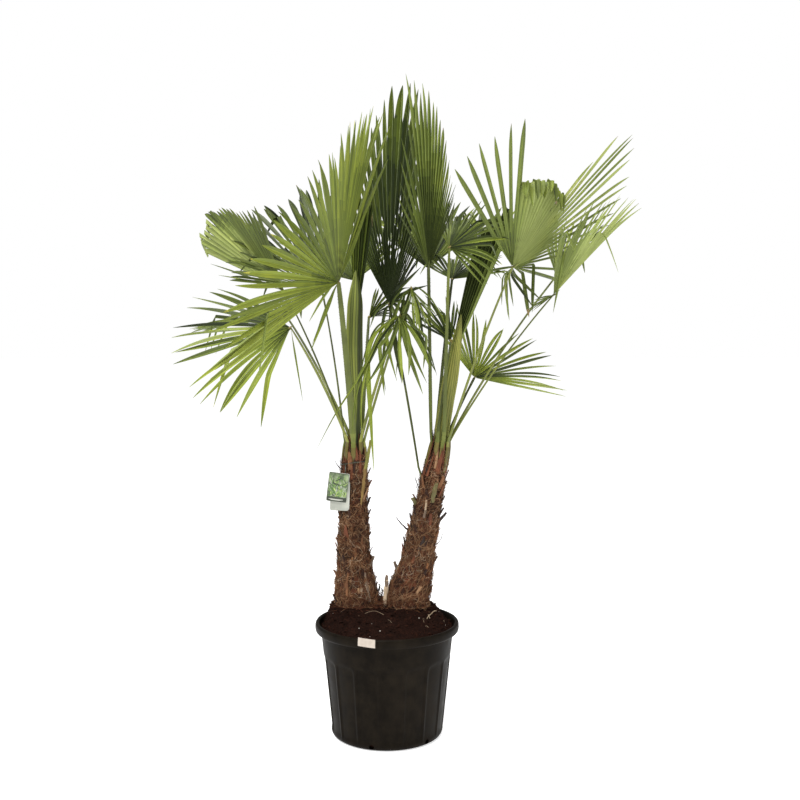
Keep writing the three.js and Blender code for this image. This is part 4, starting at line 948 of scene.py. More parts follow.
def strands(heap, key, seed, number, mats, length, lift, radius, slant, zone, steps=6, loose=0.0, curl=2.0):
    """Fibres that lie on the trunk, or stand off it when loose."""
    r = np.random.RandomState(seed)
    z0, z1 = zone
    a = r.uniform(0, 2 * math.pi, number)
    z = r.uniform(z0, z1, number)
    L = r.uniform(*length, number)
    sl = r.uniform(-slant, slant, number) * math.pi / 180 + np.where(r.rand(number) < 0.3, math.pi / 2 * np.sign(r.randn(number)), 0)
    updown = np.where(r.rand(number) < 0.62, 1, -1)
    bend = r.normal(0, curl, number)
    t = np.linspace(0, 1, steps)[None, :]
    ang = sl[:, None] + bend[:, None] * t
    ds = L[:, None] / (steps - 1)
    du, dz = np.sin(ang) * ds, np.cos(ang) * ds * updown[:, None]
    pu, pz = np.cumsum(du, 1) - du, np.cumsum(dz, 1) - dz
    Z = np.clip(z[:, None] + pz, TRUNK[key][0][0] + 1, TRUNK[key][-1][0] + 50)
    base = bark_radius(key, a, np.clip(z, None, 904), TRUNK_SEED[key])[2]
    A = a[:, None] + pu / base[:, None]
    cx, cy, R = bark_radius(key, A, np.clip(Z, None, 904), TRUNK_SEED[key])
    hi = r.uniform(*lift, number)[:, None]
    off = hi * (0.3 + np.sin(np.pi * t) * 0.9) + loose * (t**1.4) * r.uniform(0.3, 1.0, number)[:, None]
    # above the trunk's top the fibres close in round the stalks
    R = R - np.clip(Z - 904, 0, 60) * 0.12 + off
    P = np.stack([cx + R * np.cos(A), cy + R * np.sin(A), Z], -1)
    T = unit(np.gradient(P, axis=1))
    rad_ = np.stack([np.cos(A), np.sin(A), np.zeros_like(A)], -1)
    rad_ = unit(rad_ - (rad_ * T).sum(-1, keepdims=True) * T)
    sd = np.cross(T, rad_)
    w = r.uniform(*radius, number)[:, None] * (1 - 0.75 * np.abs(2 * t - 1) ** 2.5)
    ring = []
    for k in range(3):
        c, s = math.cos(k * 2.0944 + 0.5), math.sin(k * 2.0944 + 0.5)
        ring.append(P + w[..., None] * (c * rad_ + s * sd))
    V = np.stack(ring, 2)
    f1 = grid_faces(steps, 3, True)
    first = (np.arange(number) * steps * 3)[:, None, None]
    F = (f1[None] + first).reshape(-1, 4)
    names = list(mats)
    p = np.array([mats[k] for k in names], float)
    choice = np.array([FIBRE_AT[k] for k in names])[r.choice(len(names), number, p=p / p.sum())]
    base_index = heap.size
    heap.add(V.reshape(-1, 3), F, np.repeat(choice, len(f1)))
    # small end faces, so that each fibre is closed
    c0 = np.array([[2, 1, 0]])[None] + first
    c1 = np.array([[0, 1, 2]])[None] + (steps - 1) * 3 + first
    ends = np.concatenate([c0.reshape(-1, 3), c1.reshape(-1, 3)])
    heap.loops.append((ends + base_index).ravel())
    heap.counts.append(np.full(len(ends), 3))
    heap.mat.append(np.concatenate([choice, choice]))


def stub(heap, key, bearing, z0, z1, out, w0, w1, tone, thick=5.0, drift=0.0, curl=0.0, inset=5.0, power=1.6, follow=0.0):
    """Old leaf base: a flat tapering strap that leaves the trunk and ends in a rough cut."""
    n = 9
    t = np.linspace(0, 1, n)
    z = z0 + (z1 - z0) * t
    b = np.radians(bearing + drift * t)
    cx, cy, r = along(TRUNK[key], np.clip(z, None, 904))
    R = r - inset * (1 - t) + 1.0 + out * t**power - follow * narrowing(np.clip(z, None, 904))
    P = np.stack([cx + R * np.cos(b), cy + R * np.sin(b), z + curl * t * t], -1)
    side = np.stack([-np.sin(b), np.cos(b), 0 * b], -1)
    w = (w0 + (w1 - w0) * t) / 2
    th = thick / 2 * (1.1 - 0.45 * t)
    tube(heap, P, w, th, side, FIBRE_AT[tone], sides=8)


# single stubs, spikes and strips: tone, width at both ends and thickness, and points
SPIKES = {
    "L": [
        ("stub_grey", (12, 9, 7), [[-73, 60, 474], [-57, 60, 496], [-48, 58, 516], [-42, 56, 538]]),
        ("stub_dark", (11, 6, 5), [[-78, 58, 677], [-64, 58, 692], [-56, 57, 708], [-54, 56, 721]]),
        ("stub_dark", (5, 1.6, 3), [[-127, 50, 800], [-143, 48, 813], [-153, 46, 822], [-160, 45, 837]]),
        ("fibre_tan", (1.8, 0.8, 1.4), [[-137, 52, 631], [-153, 50, 642], [-165, 48, 652], [-171, 47, 663]]),
        ("stub_dark", (8, 4, 4), [[-41, 45, 402], [-29, 42, 428], [-22, 40, 447], [-27, 39, 455]]),
        ("stub_dark", (6, 3, 4), [[-29, 40, 397], [-18, 38, 416], [-14, 37, 432], [-19, 36, 442]]),
        ("fibre_pale", (9, 11, 6), [[-103, 0, 391], [-97, 0, 407], [-86, 4, 428], [-75, 10, 447]]),
        ("stub_grey", (10, 8, 4), [[-54, 8, 405], [-57, 12, 435], [-64, 17, 465], [-68, 20, 493]]),
        ("fibre_brown", (9, 6, 4), [[-123, -2, 426], [-125, 2, 450], [-123, 8, 474], [-120, 12, 498]]),
        ("fibre_tan", (7, 4, 3), [[-114, 12, 463], [-108, 13, 482], [-104, 15, 500], [-105, 17, 515]]),
        ("stub_orange", (6, 4, 3), [[-114, 15, 506], [-110, 16, 519], [-107, 17, 531], [-108, 18, 543]]),
        ("stub_strip", (7, 13, 5), [[-79, 22, 706], [-75, 23, 742], [-71, 24, 780], [-65, 25, 822]]),
        ("stalk_foot", (13, 9, 5), [[-66, 25, 816], [-60, 26, 846], [-55, 27, 876], [-50, 27, 905]]),
        ("fibre_brown", (15, 9, 3), [[-114, 26, 813], [-115, 27, 834], [-117, 28, 856], [-119, 30, 868]]),
        ("stub_dark", (6, 2.5, 3), [[-60, 56, 554], [-55, 55, 567], [-53, 54, 577], [-54, 53, 583]]),
    ],
    "R": [
        ("fibre_pale", (15, 13, 10), [[-8, 30, 377], [-7, 30, 406], [-3, 32, 443], [-1, 34, 468]]),
        ("stub_grey", (13, 11, 9), [[-3, 32, 440], [-2, 33, 458], [-1, 34, 474], [0, 34, 483]]),
        ("stub_grey", (15, 10, 8), [[49, 48, 445], [35, 50, 476], [28, 52, 501], [23, 53, 522]]),
        ("fibre_tan", (12, 7, 5), [[46, 36, 436], [38, 40, 463], [34, 44, 487], [33, 47, 506]]),
        ("fibre_brown", (12, 8, 6), [[18, 26, 397], [15, 30, 424], [14, 34, 449], [17, 38, 467]]),
        ("stub_green", (17, 14, 8), [[105, 58, 651], [95, 58, 680], [85, 57, 705], [79, 56, 722]]),
        ("stub_dark", (8, 2.4, 4), [[74, 60, 610], [59, 58, 625], [42, 56, 642], [28, 55, 660]]),
        ("stub_dark", (5, 1.8, 3), [[105, 52, 715], [98, 50, 741], [93, 49, 766], [86, 48, 788]]),
        ("stub_dark", (4, 1.4, 2.4), [[122, 40, 798], [118, 39, 814], [116, 38, 830], [118, 38, 842]]),
        ("stub_dark", (15, 8, 6), [[137, 60, 616], [155, 60, 635], [171, 59, 658], [184, 58, 675]]),
        ("fibre_brown", (18, 12, 7), [[146, 54, 740], [158, 56, 721], [168, 57, 702], [169, 58, 686]]),
        ("stub_orange", (17, 13, 5), [[108, 14, 472], [114, 16, 491], [121, 19, 509], [125, 22, 524]]),
        ("fibre_tan", (12, 11, 6), [[68, -4, 392], [80, -3, 414], [94, 2, 435], [106, 8, 453]]),
        ("fibre_brown", (14, 10, 7), [[112, 40, 416], [124, 42, 437], [133, 44, 451], [139, 46, 462]]),
        ("stub_dark", (14, 10, 8), [[105, 36, 391], [118, 38, 410], [129, 42, 420], [135, 44, 426]]),
        ("stub_green", (15, 14, 4), [[140, 26, 710], [145, 26, 732], [149, 27, 753], [154, 28, 775]]),
        ("fibre_pale", (8, 6, 3), [[117, 24, 676], [119, 24, 692], [120, 25, 707], [121, 26, 719]]),
        ("stub_dark", (12, 7, 4), [[99, 14, 566], [105, 15, 581], [112, 16, 594], [114, 18, 606]]),
        ("fibre_red", (13, 6, 3), [[145, 27, 788], [154, 27, 816], [163, 28, 843], [172, 31, 871]]),
        ("fibre_red", (10, 2, 2.5), [[157, 27, 800], [166, 28, 831], [174, 30, 862], [180, 33, 895]]),
        ("stub_dark", (3.2, 1.2, 2), [[152, 46, 575], [164, 44, 588], [172, 43, 607], [174, 43, 626]]),
    ],
}


def spike(heap, key, r, tone, size, points):
    """Stub or strip through a few points, broken off unevenly at its end."""
    w0, w1, thick = size
    points = np.array(points, float)
    t = np.linspace(0, 1, 13)
    k = np.linspace(0, 1, len(points))
    P = np.stack([np.interp(t, k, points[:, i]) for i in range(3)], -1)
    for _ in range(2):
        P[1:-1] = 0.25 * P[:-2] + 0.5 * P[1:-1] + 0.25 * P[2:]
    # what lies on the trunk is sunk a little into its mat
    st = TRUNK[key]
    cx, cy, rr = along(st, np.clip(P[:, 2], st[0][0], 904))
    out = np.stack([P[:, 0] - cx, P[:, 1] - cy], -1)
    away = np.linalg.norm(out, axis=1)
    sink = 3.2 * np.clip((rr + 12 - away) / 10, 0, 1)
    P[:, :2] -= out / np.maximum(away, 1)[:, None] * sink[:, None]
    P[1:-1] += r.normal(0, 0.5, (11, 3))
    w = (w0 + (w1 - w0) * t) / 2 * (0.92 + 0.10 * np.sin(9 * t + r.uniform(0, 6)) + r.normal(0, 0.06, 13))
    side = np.stack([np.cos(0.5 * t + r.uniform(-0.3, 0.3)), np.full(13, 0.15), 0.2 * np.sin(5 * t)], -1)
    tube(heap, P, w, np.full(13, thick / 2) * (1 - 0.25 * t), side, FIBRE_AT[tone], sides=9)


def trunk(key, name):
    seed = TRUNK_SEED[key]
    heap = Heap()
    st = TRUNK[key]
    rows, cols = 200, 176
    z = np.linspace(st[0][0] - 14, st[-1][0], rows)
    a = np.linspace(0, 2 * math.pi, cols, endpoint=False)
    A, Z = np.meshgrid(a, z)
    cx, cy, R = bark_radius(key, A, np.clip(Z, st[0][0], None), seed)
    v = np.stack([cx + R * np.cos(A), cy + R * np.sin(A), Z], -1).reshape(-1, 3)
    top = np.array([[st[-1][1], st[-1][2], st[-1][0] + 10]])
    q = grid_faces(rows, cols, True)
    f = [list(x) for x in q]
    f.append(list(range(cols))[::-1])
    last = (rows - 1) * cols
    f += [[last + j, last + (j + 1) % cols, rows * cols] for j in range(cols)]
    patch = noise2(lattice(seed + 8, 26, 40), (A / (2 * math.pi))[:-1], np.clip((Z[:-1] - z[0]) / (z[-1] - z[0]), 0, 1)).ravel()
    m = np.full(len(f), FIBRE_AT["fibre_bark"])
    m[: len(q)][patch > 0.38] = FIBRE_AT["fibre_brown"]
    m[: len(q)][patch < -0.40] = FIBRE_AT["fibre_dark"]
    m[: len(q)][np.repeat(z[:-1] > 800, cols)] = FIBRE_AT["fibre_red"]
    m[: len(q)][(patch > 0.15) & np.repeat(z[:-1] < 500, cols)] = FIBRE_AT["fibre_red"]
    heap.add(np.concatenate([v, top]), f, m, np.zeros((len(v) + 1, 2)))
    r = np.random.RandomState(seed + 40)
    for tone, size, points in SPIKES[key]:
        spike(heap, key, r, tone, size, points)
    for i in range(22):
        zt = 410 + 400 * i / 21 + r.uniform(-10, 10)
        length = r.uniform(25, 50)
        tone = ["fibre_brown", "fibre_dark", "stub_grey", "fibre_tan", "fibre_red"][r.choice(5, p=[0.46, 0.3, 0.06, 0.06, 0.12])]
        stub(heap, key, math.degrees(i * 2.3999) + r.uniform(-12, 12), zt - length, zt, r.uniform(2, 13), r.uniform(9, 16), r.uniform(3, 8), tone,
             thick=r.uniform(3, 5), drift=r.uniform(-8, 8), inset=6)
    # short broad remains of old leaf bases that break the outline
    rb = np.random.RandomState(seed + 90)
    for i in range(30):
        zt = 402 + 400 * i / 29 + rb.uniform(-10, 10)
        b = i * 137.5 + 60 if i % 3 else (0 if i % 2 else 180) + rb.uniform(-28, 28)
        tone = ["fibre_brown", "fibre_red", "fibre_dark"][rb.choice(3, p=[0.5, 0.25, 0.25])]
        size = rb.uniform(24, 42), rb.uniform(6, 12), rb.uniform(14, 22), rb.uniform(4, 10), rb.uniform(5, 8), rb.uniform(-9, 9)
        if key == "L" and 660 < zt < 815 and 170 < b % 360 < 315:
            continue    # the cards hang here
        stub(heap, key, b, zt - size[0], zt, size[1], size[2], size[3], tone, thick=size[4], drift=size[5], inset=6)
    # thin torn strips of sheath round the feet of the stalks
    for i in range(46):
        b = 360 / 46 * i + r.uniform(-6, 6)
        tone = ["fibre_red", "fibre_dark", "fibre_brown", "fibre_tan"][r.choice(4, p=[0.5, 0.36, 0.1, 0.04])]
        stub(heap, key, b, r.uniform(770, 862), r.uniform(872, 934), r.uniform(-4, 9), r.uniform(5, 12), r.uniform(0.5, 2.0), tone, thick=1.4, drift=r.uniform(-18, 18), inset=3, power=1.2, follow=1.0)
    # wiry ends that stand up and curl over
    for i in range(9):
        b = 360 / 9 * i + r.uniform(-16, 16)
        stub(heap, key, b, r.uniform(850, 880), r.uniform(910, 958), r.uniform(4, 20), 2.6, 0.7, "fibre_dark", thick=0.9, drift=r.uniform(-30, 30), inset=2, curl=r.uniform(-20, 0), follow=1.0)
    ob = heap.build(name + "_bark", fibre_mats, 40)
    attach(ob, "root")
    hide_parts(name)
    hair = Heap()
    lo, hi = st[0][0] + 4, 850
    strands(hair, key, seed + 50, 2100, dict(fibre_brown=5, fibre_dark=4, fibre_red=4), (22, 62), (0.3, 3.4), (0.45, 0.95), 60, (lo, hi))
    strands(hair, key, seed + 51, 1500, dict(fibre_tan=5, fibre_brown=5, fibre_red=1), (20, 60), (1.2, 5.0), (0.38, 0.85), 70, (lo, hi), curl=2.6)
    strands(hair, key, seed + 52, 420, dict(fibre_pale=3, fibre_tan=5), (15, 52), (2.2, 6.5), (0.32, 0.62), 70, (lo, hi), curl=2.8)
    strands(hair, key, seed + 53, 900, dict(fibre_brown=4, fibre_tan=2, fibre_dark=3), (12, 40), (1.0, 3.0), (0.26, 0.6), 50, (lo, hi), steps=6, loose=17.0)
    strands(hair, key, seed + 54, 700, dict(fibre_red=6, fibre_dark=4, fibre_brown=1), (24, 64), (-1.0, 2.4), (0.4, 0.9), 26, (800, 903), curl=0.8)
    strands(hair, key, seed + 55, 420, dict(fibre_brown=4, fibre_red=3, fibre_tan=2), (25, 60), (1.0, 6.0), (0.4, 0.9), 80, (lo - 2, lo + 34), curl=1.5, loose=7.0)
    hob = hair.build(name + "_fibres", fibre_mats, None)
    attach(hob, "root")


trunk("L", "trunk_left")
trunk("R", "trunk_right")



def saddle():
    """Fibre that fills the cleft between the feet of both trunks and spreads on the soil."""
    r = np.random.RandomState(61)
    heap = Heap()
    number, steps = 900, 7
    p = np.stack([r.uniform(-52, 22, number), r.uniform(8, 112, number), np.zeros(number)], -1)
    mid = 1 - np.abs((p[:, 0] + 15) / 40)
    p[:, 2] = 382 + 34 * np.clip(1 - mid, 0, 1) * r.rand(number) + r.uniform(0, 12, number)
    # fringe on the soil round both feet
    k = number // 3
    a = r.uniform(0, 2 * math.pi, k)
    foot = np.where(r.rand(k) < 0.5, 0, 1)
    fx, fy = np.where(foot, 60, -93), np.where(foot, 62, 66)
    rad_ = r.uniform(64, 80, k)
    p[:k] = np.stack([fx + rad_ * np.cos(a), fy + rad_ * np.sin(a), 385 - 0.25 * (rad_ - 64) + r.uniform(-1, 4, k)], -1)
    d = unit(np.stack([r.normal(0, 1, number), r.normal(0, 0.8, number), r.normal(0, 0.45, number)], -1))
    pts = [p]
    for _ in range(steps - 1):
        d = unit(d + r.normal(0, 0.38, (number, 3)) * [1, 1, 0.6])
        p = p + d * r.uniform(4, 9, number)[:, None]
        p[:, 2] = np.clip(p[:, 2], 377, 432)
        pts.append(p)
    P = np.stack(pts, 1)
    tones = [FIBRE_AT[k] for k in ("fibre_brown", "fibre_dark", "fibre_red", "fibre_tan")]
    for i in range(number):
        w = r.uniform(0.35, 0.85) * (1 - 0.7 * np.abs(np.linspace(-1, 1, steps)) ** 2.5)
        tube(heap, P[i], w, w, np.repeat([[0.2, 0.3, 0.9]], steps, 0), tones[r.choice(4, p=[0.4, 0.25, 0.22, 0.13])], sides=3)
    ob = heap.build("trunk_foot_fibres", fibre_mats, None)
    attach(ob, "root")


saddle()


# ---------------------------------------------------------------- soil
def soil_material(name, dark, light):
    m = Mat(name)
    grain = m.noise(210.0, 5.0, rough=0.7)
    clod = m.noise(34.0, 4.0)
    c = m.mix(m.range(grain, 0.36, 0.66, 0.0, 1.0), dark, light)
    m.link(m.mix(1.0, c, m.range(clod, 0.3, 0.7, 0.6, 1.2), "MULTIPLY"), m.p.inputs["Base Color"])
    m.p.inputs["Specular IOR Level"].default_value = 0.04
    m.link(m.range(clod, 0.3, 0.7, 0.8, 0.98), m.p.inputs["Roughness"])
    m.bump(grain, 0.9, 0.004)
    return m.m


def plain_material(name, colour, rough, spec=0.4):
    m = Mat(name)
    n = m.noise(70.0, 3.0)
    m.link(m.mix(m.range(n, 0.3, 0.7, 0.0, 1.0), scaled(colour, 0.8), colour), m.p.inputs["Base Color"])
    m.p.inputs["Roughness"].default_value = rough
    m.p.inputs["Specular IOR Level"].default_value = spec
    m.bump(n, 0.3, 0.001)
    return m.m


soil_mats = [soil_material("soil_peat", (0.006, 0.0026, 0.0018, 1), (0.024, 0.0096, 0.0062, 1)),
             soil_material("soil_crumb", (0.012, 0.0046, 0.003, 1), (0.048, 0.018, 0.011, 1)),
             plain_material("soil_perlite", (0.50, 0.46, 0.40, 1), 0.8),
             plain_material("soil_root", (0.30, 0.22, 0.14, 1), 0.75)]


def pot_wall(z):
    return POT_FOOT_R + (POT_SHOULDER_R - POT_FOOT_R) * (z - 18) / (POT_HEIGHT - POT_LIP_H - 18)


SOIL_IN = POT_WALL + 1.8
SOIL_R = POT_SHOULDER_R - SOIL_IN + 6
soil_g = [lattice(401, 40, 26), lattice(402, 110, 60), lattice(403, 200, 120)]


def soil_point(a, t):
    """Soil surface: t runs from 0 at the wall to 1 at the heap's level top, and on to 2 at its centre."""
    cx, cy, rx, ry = SOIL_HEAP
    a, t = np.asarray(a, float), np.asarray(t, float)
    u = np.clip(t, 0, 1)
    x0 = cx * u + (SOIL_R + (rx - SOIL_R) * u) * np.cos(a)
    y0 = cy * u + (SOIL_R + (ry - SOIL_R) * u) * np.sin(a)
    k = np.clip(t - 1, 0, 1)
    x, y = x0 + (cx - x0) * k, y0 + (cy - y0) * k
    h = np.interp(u, [0, 0.34, 0.7, 1], [0, 0.24, 0.72, 1.0])
    z = SOIL_EDGE_Z + (SOIL_HEAP_Z - SOIL_EDGE_Z) * h
    q, w = a / (2 * math.pi), t / 2
    z = z + (3.2 * noise2(soil_g[0], q, w) + 2.2 * noise2(soil_g[1], q, w) + 1.2 * noise2(soil_g[2], q, w)) * np.clip(0.35 + t * 1.6, 0, 1) - 1.0
    return np.stack([x, y, z], -1)


def soil():
    heap = Heap()
    cols, rows = 224, 84
    a = np.linspace(0, 2 * math.pi, cols, endpoint=False)
    walls = [(POT_FOOT_R - SOIL_IN - 9, POT_FLOOR + 0.6), (POT_FOOT_R - SOIL_IN, 22), (pot_wall(160) - SOIL_IN, 160), (POT_SHOULDER_R - SOIL_IN + 2, 318)]
    pts = [np.stack([r * np.cos(a), r * np.sin(a), np.full(cols, z)], -1) for r, z in walls]
    for t in np.linspace(0, 1.985, rows):
        pts.append(soil_point(a, np.full(cols, t)))
    v = np.array(pts).reshape(-1, 3)
    f = [list(q) for q in grid_faces(len(pts), cols, True)]
    f.append(list(range(cols))[::-1])
    f.append(list(range((len(pts) - 1) * cols, len(pts) * cols)))
    heap.add(v, f, 0)
    r = np.random.RandomState(77)
    # crumbs of peat and bark
    ico = np.array([[0, 0, 1], [0.894, 0, 0.447], [0.276, 0.851, 0.447], [-0.724, 0.526, 0.447], [-0.724, -0.526, 0.447], [0.276, -0.851, 0.447],
                    [0.724, 0.526, -0.447], [-0.276, 0.851, -0.447], [-0.894, 0, -0.447], [-0.276, -0.851, -0.447], [0.724, -0.526, -0.447], [0, 0, -1]])
    ico_f = np.array([[0, 1, 2], [0, 2, 3], [0, 3, 4], [0, 4, 5], [0, 5, 1], [1, 6, 2], [2, 7, 3], [3, 8, 4], [4, 9, 5], [5, 10, 1],
                      [6, 7, 2], [7, 8, 3], [8, 9, 4], [9, 10, 5], [10, 6, 1], [6, 11, 7], [7, 11, 8], [8, 11, 9], [9, 11, 10], [10, 11, 6]])

    def lump(p, size, mat, squash=0.7):
        q = ico * (1 + r.uniform(-0.28, 0.28, (12, 1))) * size * np.array([1, r.uniform(0.7, 1.1), squash])
        ang = r.uniform(0, 6.28)
        c, s = math.cos(ang), math.sin(ang)
        q = q @ np.array([[c, s, 0], [-s, c, 0], [0, 0, 1]])
        heap.add(q + p, ico_f, mat)

    for _ in range(1500):
        lump(soil_point(r.uniform(0, 6.283), r.uniform(0.03, 1.25)), r.gamma(2.2, 0.9) + 0.9, 0 if r.rand() < 0.55 else 1)
    for _ in range(12):
        lump(soil_point(r.uniform(0, 6.283), r.uniform(0.05, 1.1)) + np.array([0, 0, 1.0]), r.uniform(0.7, 1.4), 2, 0.8)
    for x, y, z, s in ((-82, -106, 354, 2.2), (-19, -127, 352, 2.5), (98, -54, 371, 2.6)):
        lump(np.array([x, y, z]), s, 2, 0.8)
    # root bits and a long pale hair
    def rootlet(points, w, mat=3):
        points = np.array(points, float)
        t = np.linspace(0, 1, len(points))
        k = np.linspace(0, 1, 12)
        path = np.stack([np.interp(k, t, points[:, i]) for i in range(3)], -1)
        path[1:-1] = 0.25 * path[:-2] + 0.5 * path[1:-1] + 0.25 * path[2:]
        tube(heap, path, np.full(12, w), np.full(12, w), np.repeat([[0.3, 0.9, 0.2]], 12, 0), mat, sides=5)

    rootlet([[-67, -38, 381], [-52, -33, 386], [-36, -29, 387], [-22, -38, 384], [-9, -51, 380]], 0.55)
    rootlet([[122, -44, 366], [126, -36, 372], [134, -22, 374], [145, 0, 379], [152, 8, 377]], 1.5)
    rootlet([[131, -40, 366], [128, -33, 372], [127, -18, 372]], 1.4)
    for _ in range(60):
        a0, t0 = r.uniform(0, 6.283), r.uniform(0.05, 1.1)
        p0 = soil_point(a0, t0)
        p1 = soil_point(a0 + r.uniform(-0.12, 0.12), t0 + r.uniform(-0.1, 0.1))
        rootlet([p0 - [0, 0, 1], (p0 + p1) / 2 + [0, 0, r.uniform(1, 4)], p1 - [0, 0, 1]], r.uniform(0.3, 0.6), 1 if r.rand() < 0.85 else 3)
    ob = heap.build("soil_mound", soil_mats, 45)
    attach(ob, "root")
    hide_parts("soil")


soil()

# ---------------------------------------------------------------- container
def pot_material():
    m = Mat("pot_black_plastic")
    wear = m.noise(26.0, 5.0, rough=0.62)
    fine = m.noise(260.0, 3.0)
    dust = m.noise(7.0, 4.0, (1, 1, 0.55))
    tc = m.node("ShaderNodeTexCoord")
    sep = m.node("ShaderNodeSeparateXYZ")
    m.link(tc.outputs["Object"], sep.inputs[0])
    base = m.mix(m.range(wear, 0.4, 0.7, 0.0, 1.0), (0.0052, 0.0038, 0.0024, 1), (0.0110, 0.0082, 0.0052, 1))
    soiled = m.range(dust, 0.5, 0.78, 0.0, 0.30)
    m.link(m.mix(soiled, base, (0.024, 0.0185, 0.0125, 1)), m.p.inputs["Base Color"])
    m.link(m.range(wear, 0.3, 0.72, 0.36, 0.54), m.p.inputs["Roughness"])
    m.p.inputs["Specular IOR Level"].default_value = 0.036
    m.bump(fine, 0.18, 0.0006)
    return m.m


# the rolled lip, from its underside over the top and down inside
LIP = [(203.4, 319.6), (204.8, 321.2), (208, 321.9), (213.6, 322.2), (217.2, 323.2), (219.4, 325.4), (220.5, 328.6), (221, 333), (221, 338),
       (220.7, 342.6), (219.9, 346.2), (218.2, 348.8), (215.6, 350), (212.4, 350), (210.0, 349.2), (208.4, 347.2), (207.4, 344), (205.4, 337)]


def pot():
    """Thick-lipped container with a smooth band and sixteen shallow panels, holed at the bottom corner."""
    heap = Heap()
    lip = POT_HEIGHT - POT_LIP_H
    # outer profile from the underside up, over the lip and down inside
    outer = [(0, 0), (60, 0), (120, 0), (POT_BASE_R - 4, 0), (POT_BASE_R + 1, 0.6), (163, 2.2), (167.5, 5.2), (170.3, 9.5), (171.8, 14), (172.6, 19)]
    outer += [(pot_wall(z), z) for z in np.linspace(24, 256, 40)]
    outer += [(pot_wall(z), z) for z in (262, 272, 284, 296, 308, 317)]
    outer += LIP + [(203, 330), (200.4, 320)]
    outer += [(pot_wall(z) - POT_WALL, z) for z in (300, 240, 160, 80, 30)] + [(POT_FOOT_R - POT_WALL - 4, 14), (POT_FOOT_R - POT_WALL - 10, POT_FLOOR), (80, POT_FLOOR), (0, POT_FLOOR)]
    prof = np.array(outer, float)
    cols = PANELS * 24
    a = np.linspace(0, 2 * math.pi, cols, endpoint=False)
    A, I = np.meshgrid(a, np.arange(1, len(prof) - 1))
    R, Z = prof[I, 0], prof[I, 1]
    last_out = 10 + 40 + 2
    ph = (A / (2 * math.pi) * PANELS + 0.28) % 1.0
    rib = np.clip((np.abs(ph - 0.5) * 2 - 0.80) / 0.14, 0, 1)
    rib = rib * rib * (3 - 2 * rib)
    corner = np.clip(1 - np.abs(ph - 0.5) * 2 / 0.84, 0, 1) ** 0.20
    top_z = 238 + 19 * corner
    up = np.clip((top_z - Z) / 9.0, 0, 1)
    low = np.clip((Z - 14) / 16.0, 0, 1)
    up, low = up * up * (3 - 2 * up), low * low * (3 - 2 * low)
    deep = 2.8 * (1 - rib) * up * low * (I <= last_out)
    wob = 0.35 * np.sin(3 * A + 0.7) * (Z > 40)
    R = R - deep + wob
    v = np.stack([R * np.cos(A), R * np.sin(A), Z], -1)
    rows = v.shape[0]
    pts = np.concatenate([v.reshape(-1, 3), [[0, 0, 0], [0, 0, POT_FLOOR]]])
    f = [list(q) for q in grid_faces(rows, cols, True)]
    under, floor_ = rows * cols, rows * cols + 1
    f += [[(j + 1) % cols, j, under] for j in range(cols)]
    end = (rows - 1) * cols
    f += [[end + j, end + (j + 1) % cols, floor_] for j in range(cols)]
    heap.add(pts, f, 0)
    ob = heap.build("pot_shell", [pot_material()], None)
    # drain slots
    for k in range(6):
        th = math.radians(-105 + 60 * k)
        bpy.ops.mesh.primitive_cylinder_add(vertices=20, radius=0.008, depth=0.05, location=((POT_FOOT_R - 4) * 0.001 * math.cos(th), (POT_FOOT_R - 4) * 0.001 * math.sin(th), 0.013), rotation=(0, math.pi / 2, th))
        cut = bpy.context.object
        mod = ob.modifiers.new("slot", "BOOLEAN")
        mod.object, mod.operation, mod.solver = cut, "DIFFERENCE", "EXACT"
        bpy.context.view_layer.objects.active = ob
        bpy.ops.object.modifier_apply(modifier=mod.name)
        bpy.data.objects.remove(cut)
    me = ob.data
    me.polygons.foreach_set("use_smooth", np.ones(len(me.polygons), bool))
    me.set_sharp_from_angle(angle=math.radians(40))
    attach(ob, "root")
    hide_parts("pot")


pot()

# ---------------------------------------------------------------- labels
def card_material(name, a, b, scale, rough=0.35, stretch=(1, 1, 1)):
    m = Mat(name)
    n = m.noise(scale, 3.0, stretch)
    m.link(m.mix(m.range(n, 0.38, 0.62, 0.0, 1.0), a, b), m.p.inputs["Base Color"])
    m.p.inputs["Roughness"].default_value = rough
    m.bump(m.noise(400.0, 2.0), 0.06, 0.0003)
    return m.m


def slab(heap, origin, ux, uz, un, w, h, t, mat, bow=0.0, cols=10, rows=12, radius=3.0):
    """Thin card with rounded corners that bows across its width."""
    ang = np.linspace(0, 2 * math.pi, 4 * 8, endpoint=False)
    grid = []
    for j in range(rows + 1):
        for i in range(cols + 1):
            x, z = (i / cols - 0.5) * w, (j / rows - 0.5) * h
            cx, cz = w / 2 - radius, h / 2 - radius
            if abs(x) > cx and abs(z) > cz:
                d = math.hypot(abs(x) - cx, abs(z) - cz)
                if d > radius:
                    x = math.copysign(cx + (abs(x) - cx) * radius / d, x)
                    z = math.copysign(cz + (abs(z) - cz) * radius / d, z)
            grid.append((x, z))
    g = np.array(grid)
    lift = bow * (1 - (2 * g[:, 0] / w) ** 2) + 0.35 * bow * np.sin(g[:, 1] / h * 3)
    front = origin + g[:, :1] * ux + g[:, 1:] * uz + (lift + t / 2)[:, None] * un
    back = origin + g[:, :1] * ux + g[:, 1:] * uz + (lift - t / 2)[:, None] * un
    n = len(g)
    q = grid_faces(rows + 1, cols + 1, False)
    rim = list(range(cols + 1)) + [(j + 1) * (cols + 1) + cols for j in range(rows)] + [rows * (cols + 1) + i for i in range(cols - 1, -1, -1)] + [j * (cols + 1) for j in range(rows - 1, 0, -1)]
    faces = [list(x) for x in q] + [list((x + n)[::-1]) for x in q]
    for i in range(len(rim)):
        a, b = rim[i], rim[(i + 1) % len(rim)]
        faces.append([b, a, a + n, b + n])
    heap.add(np.concatenate([front, back]), faces, mat, np.concatenate([g, g]) / 100)


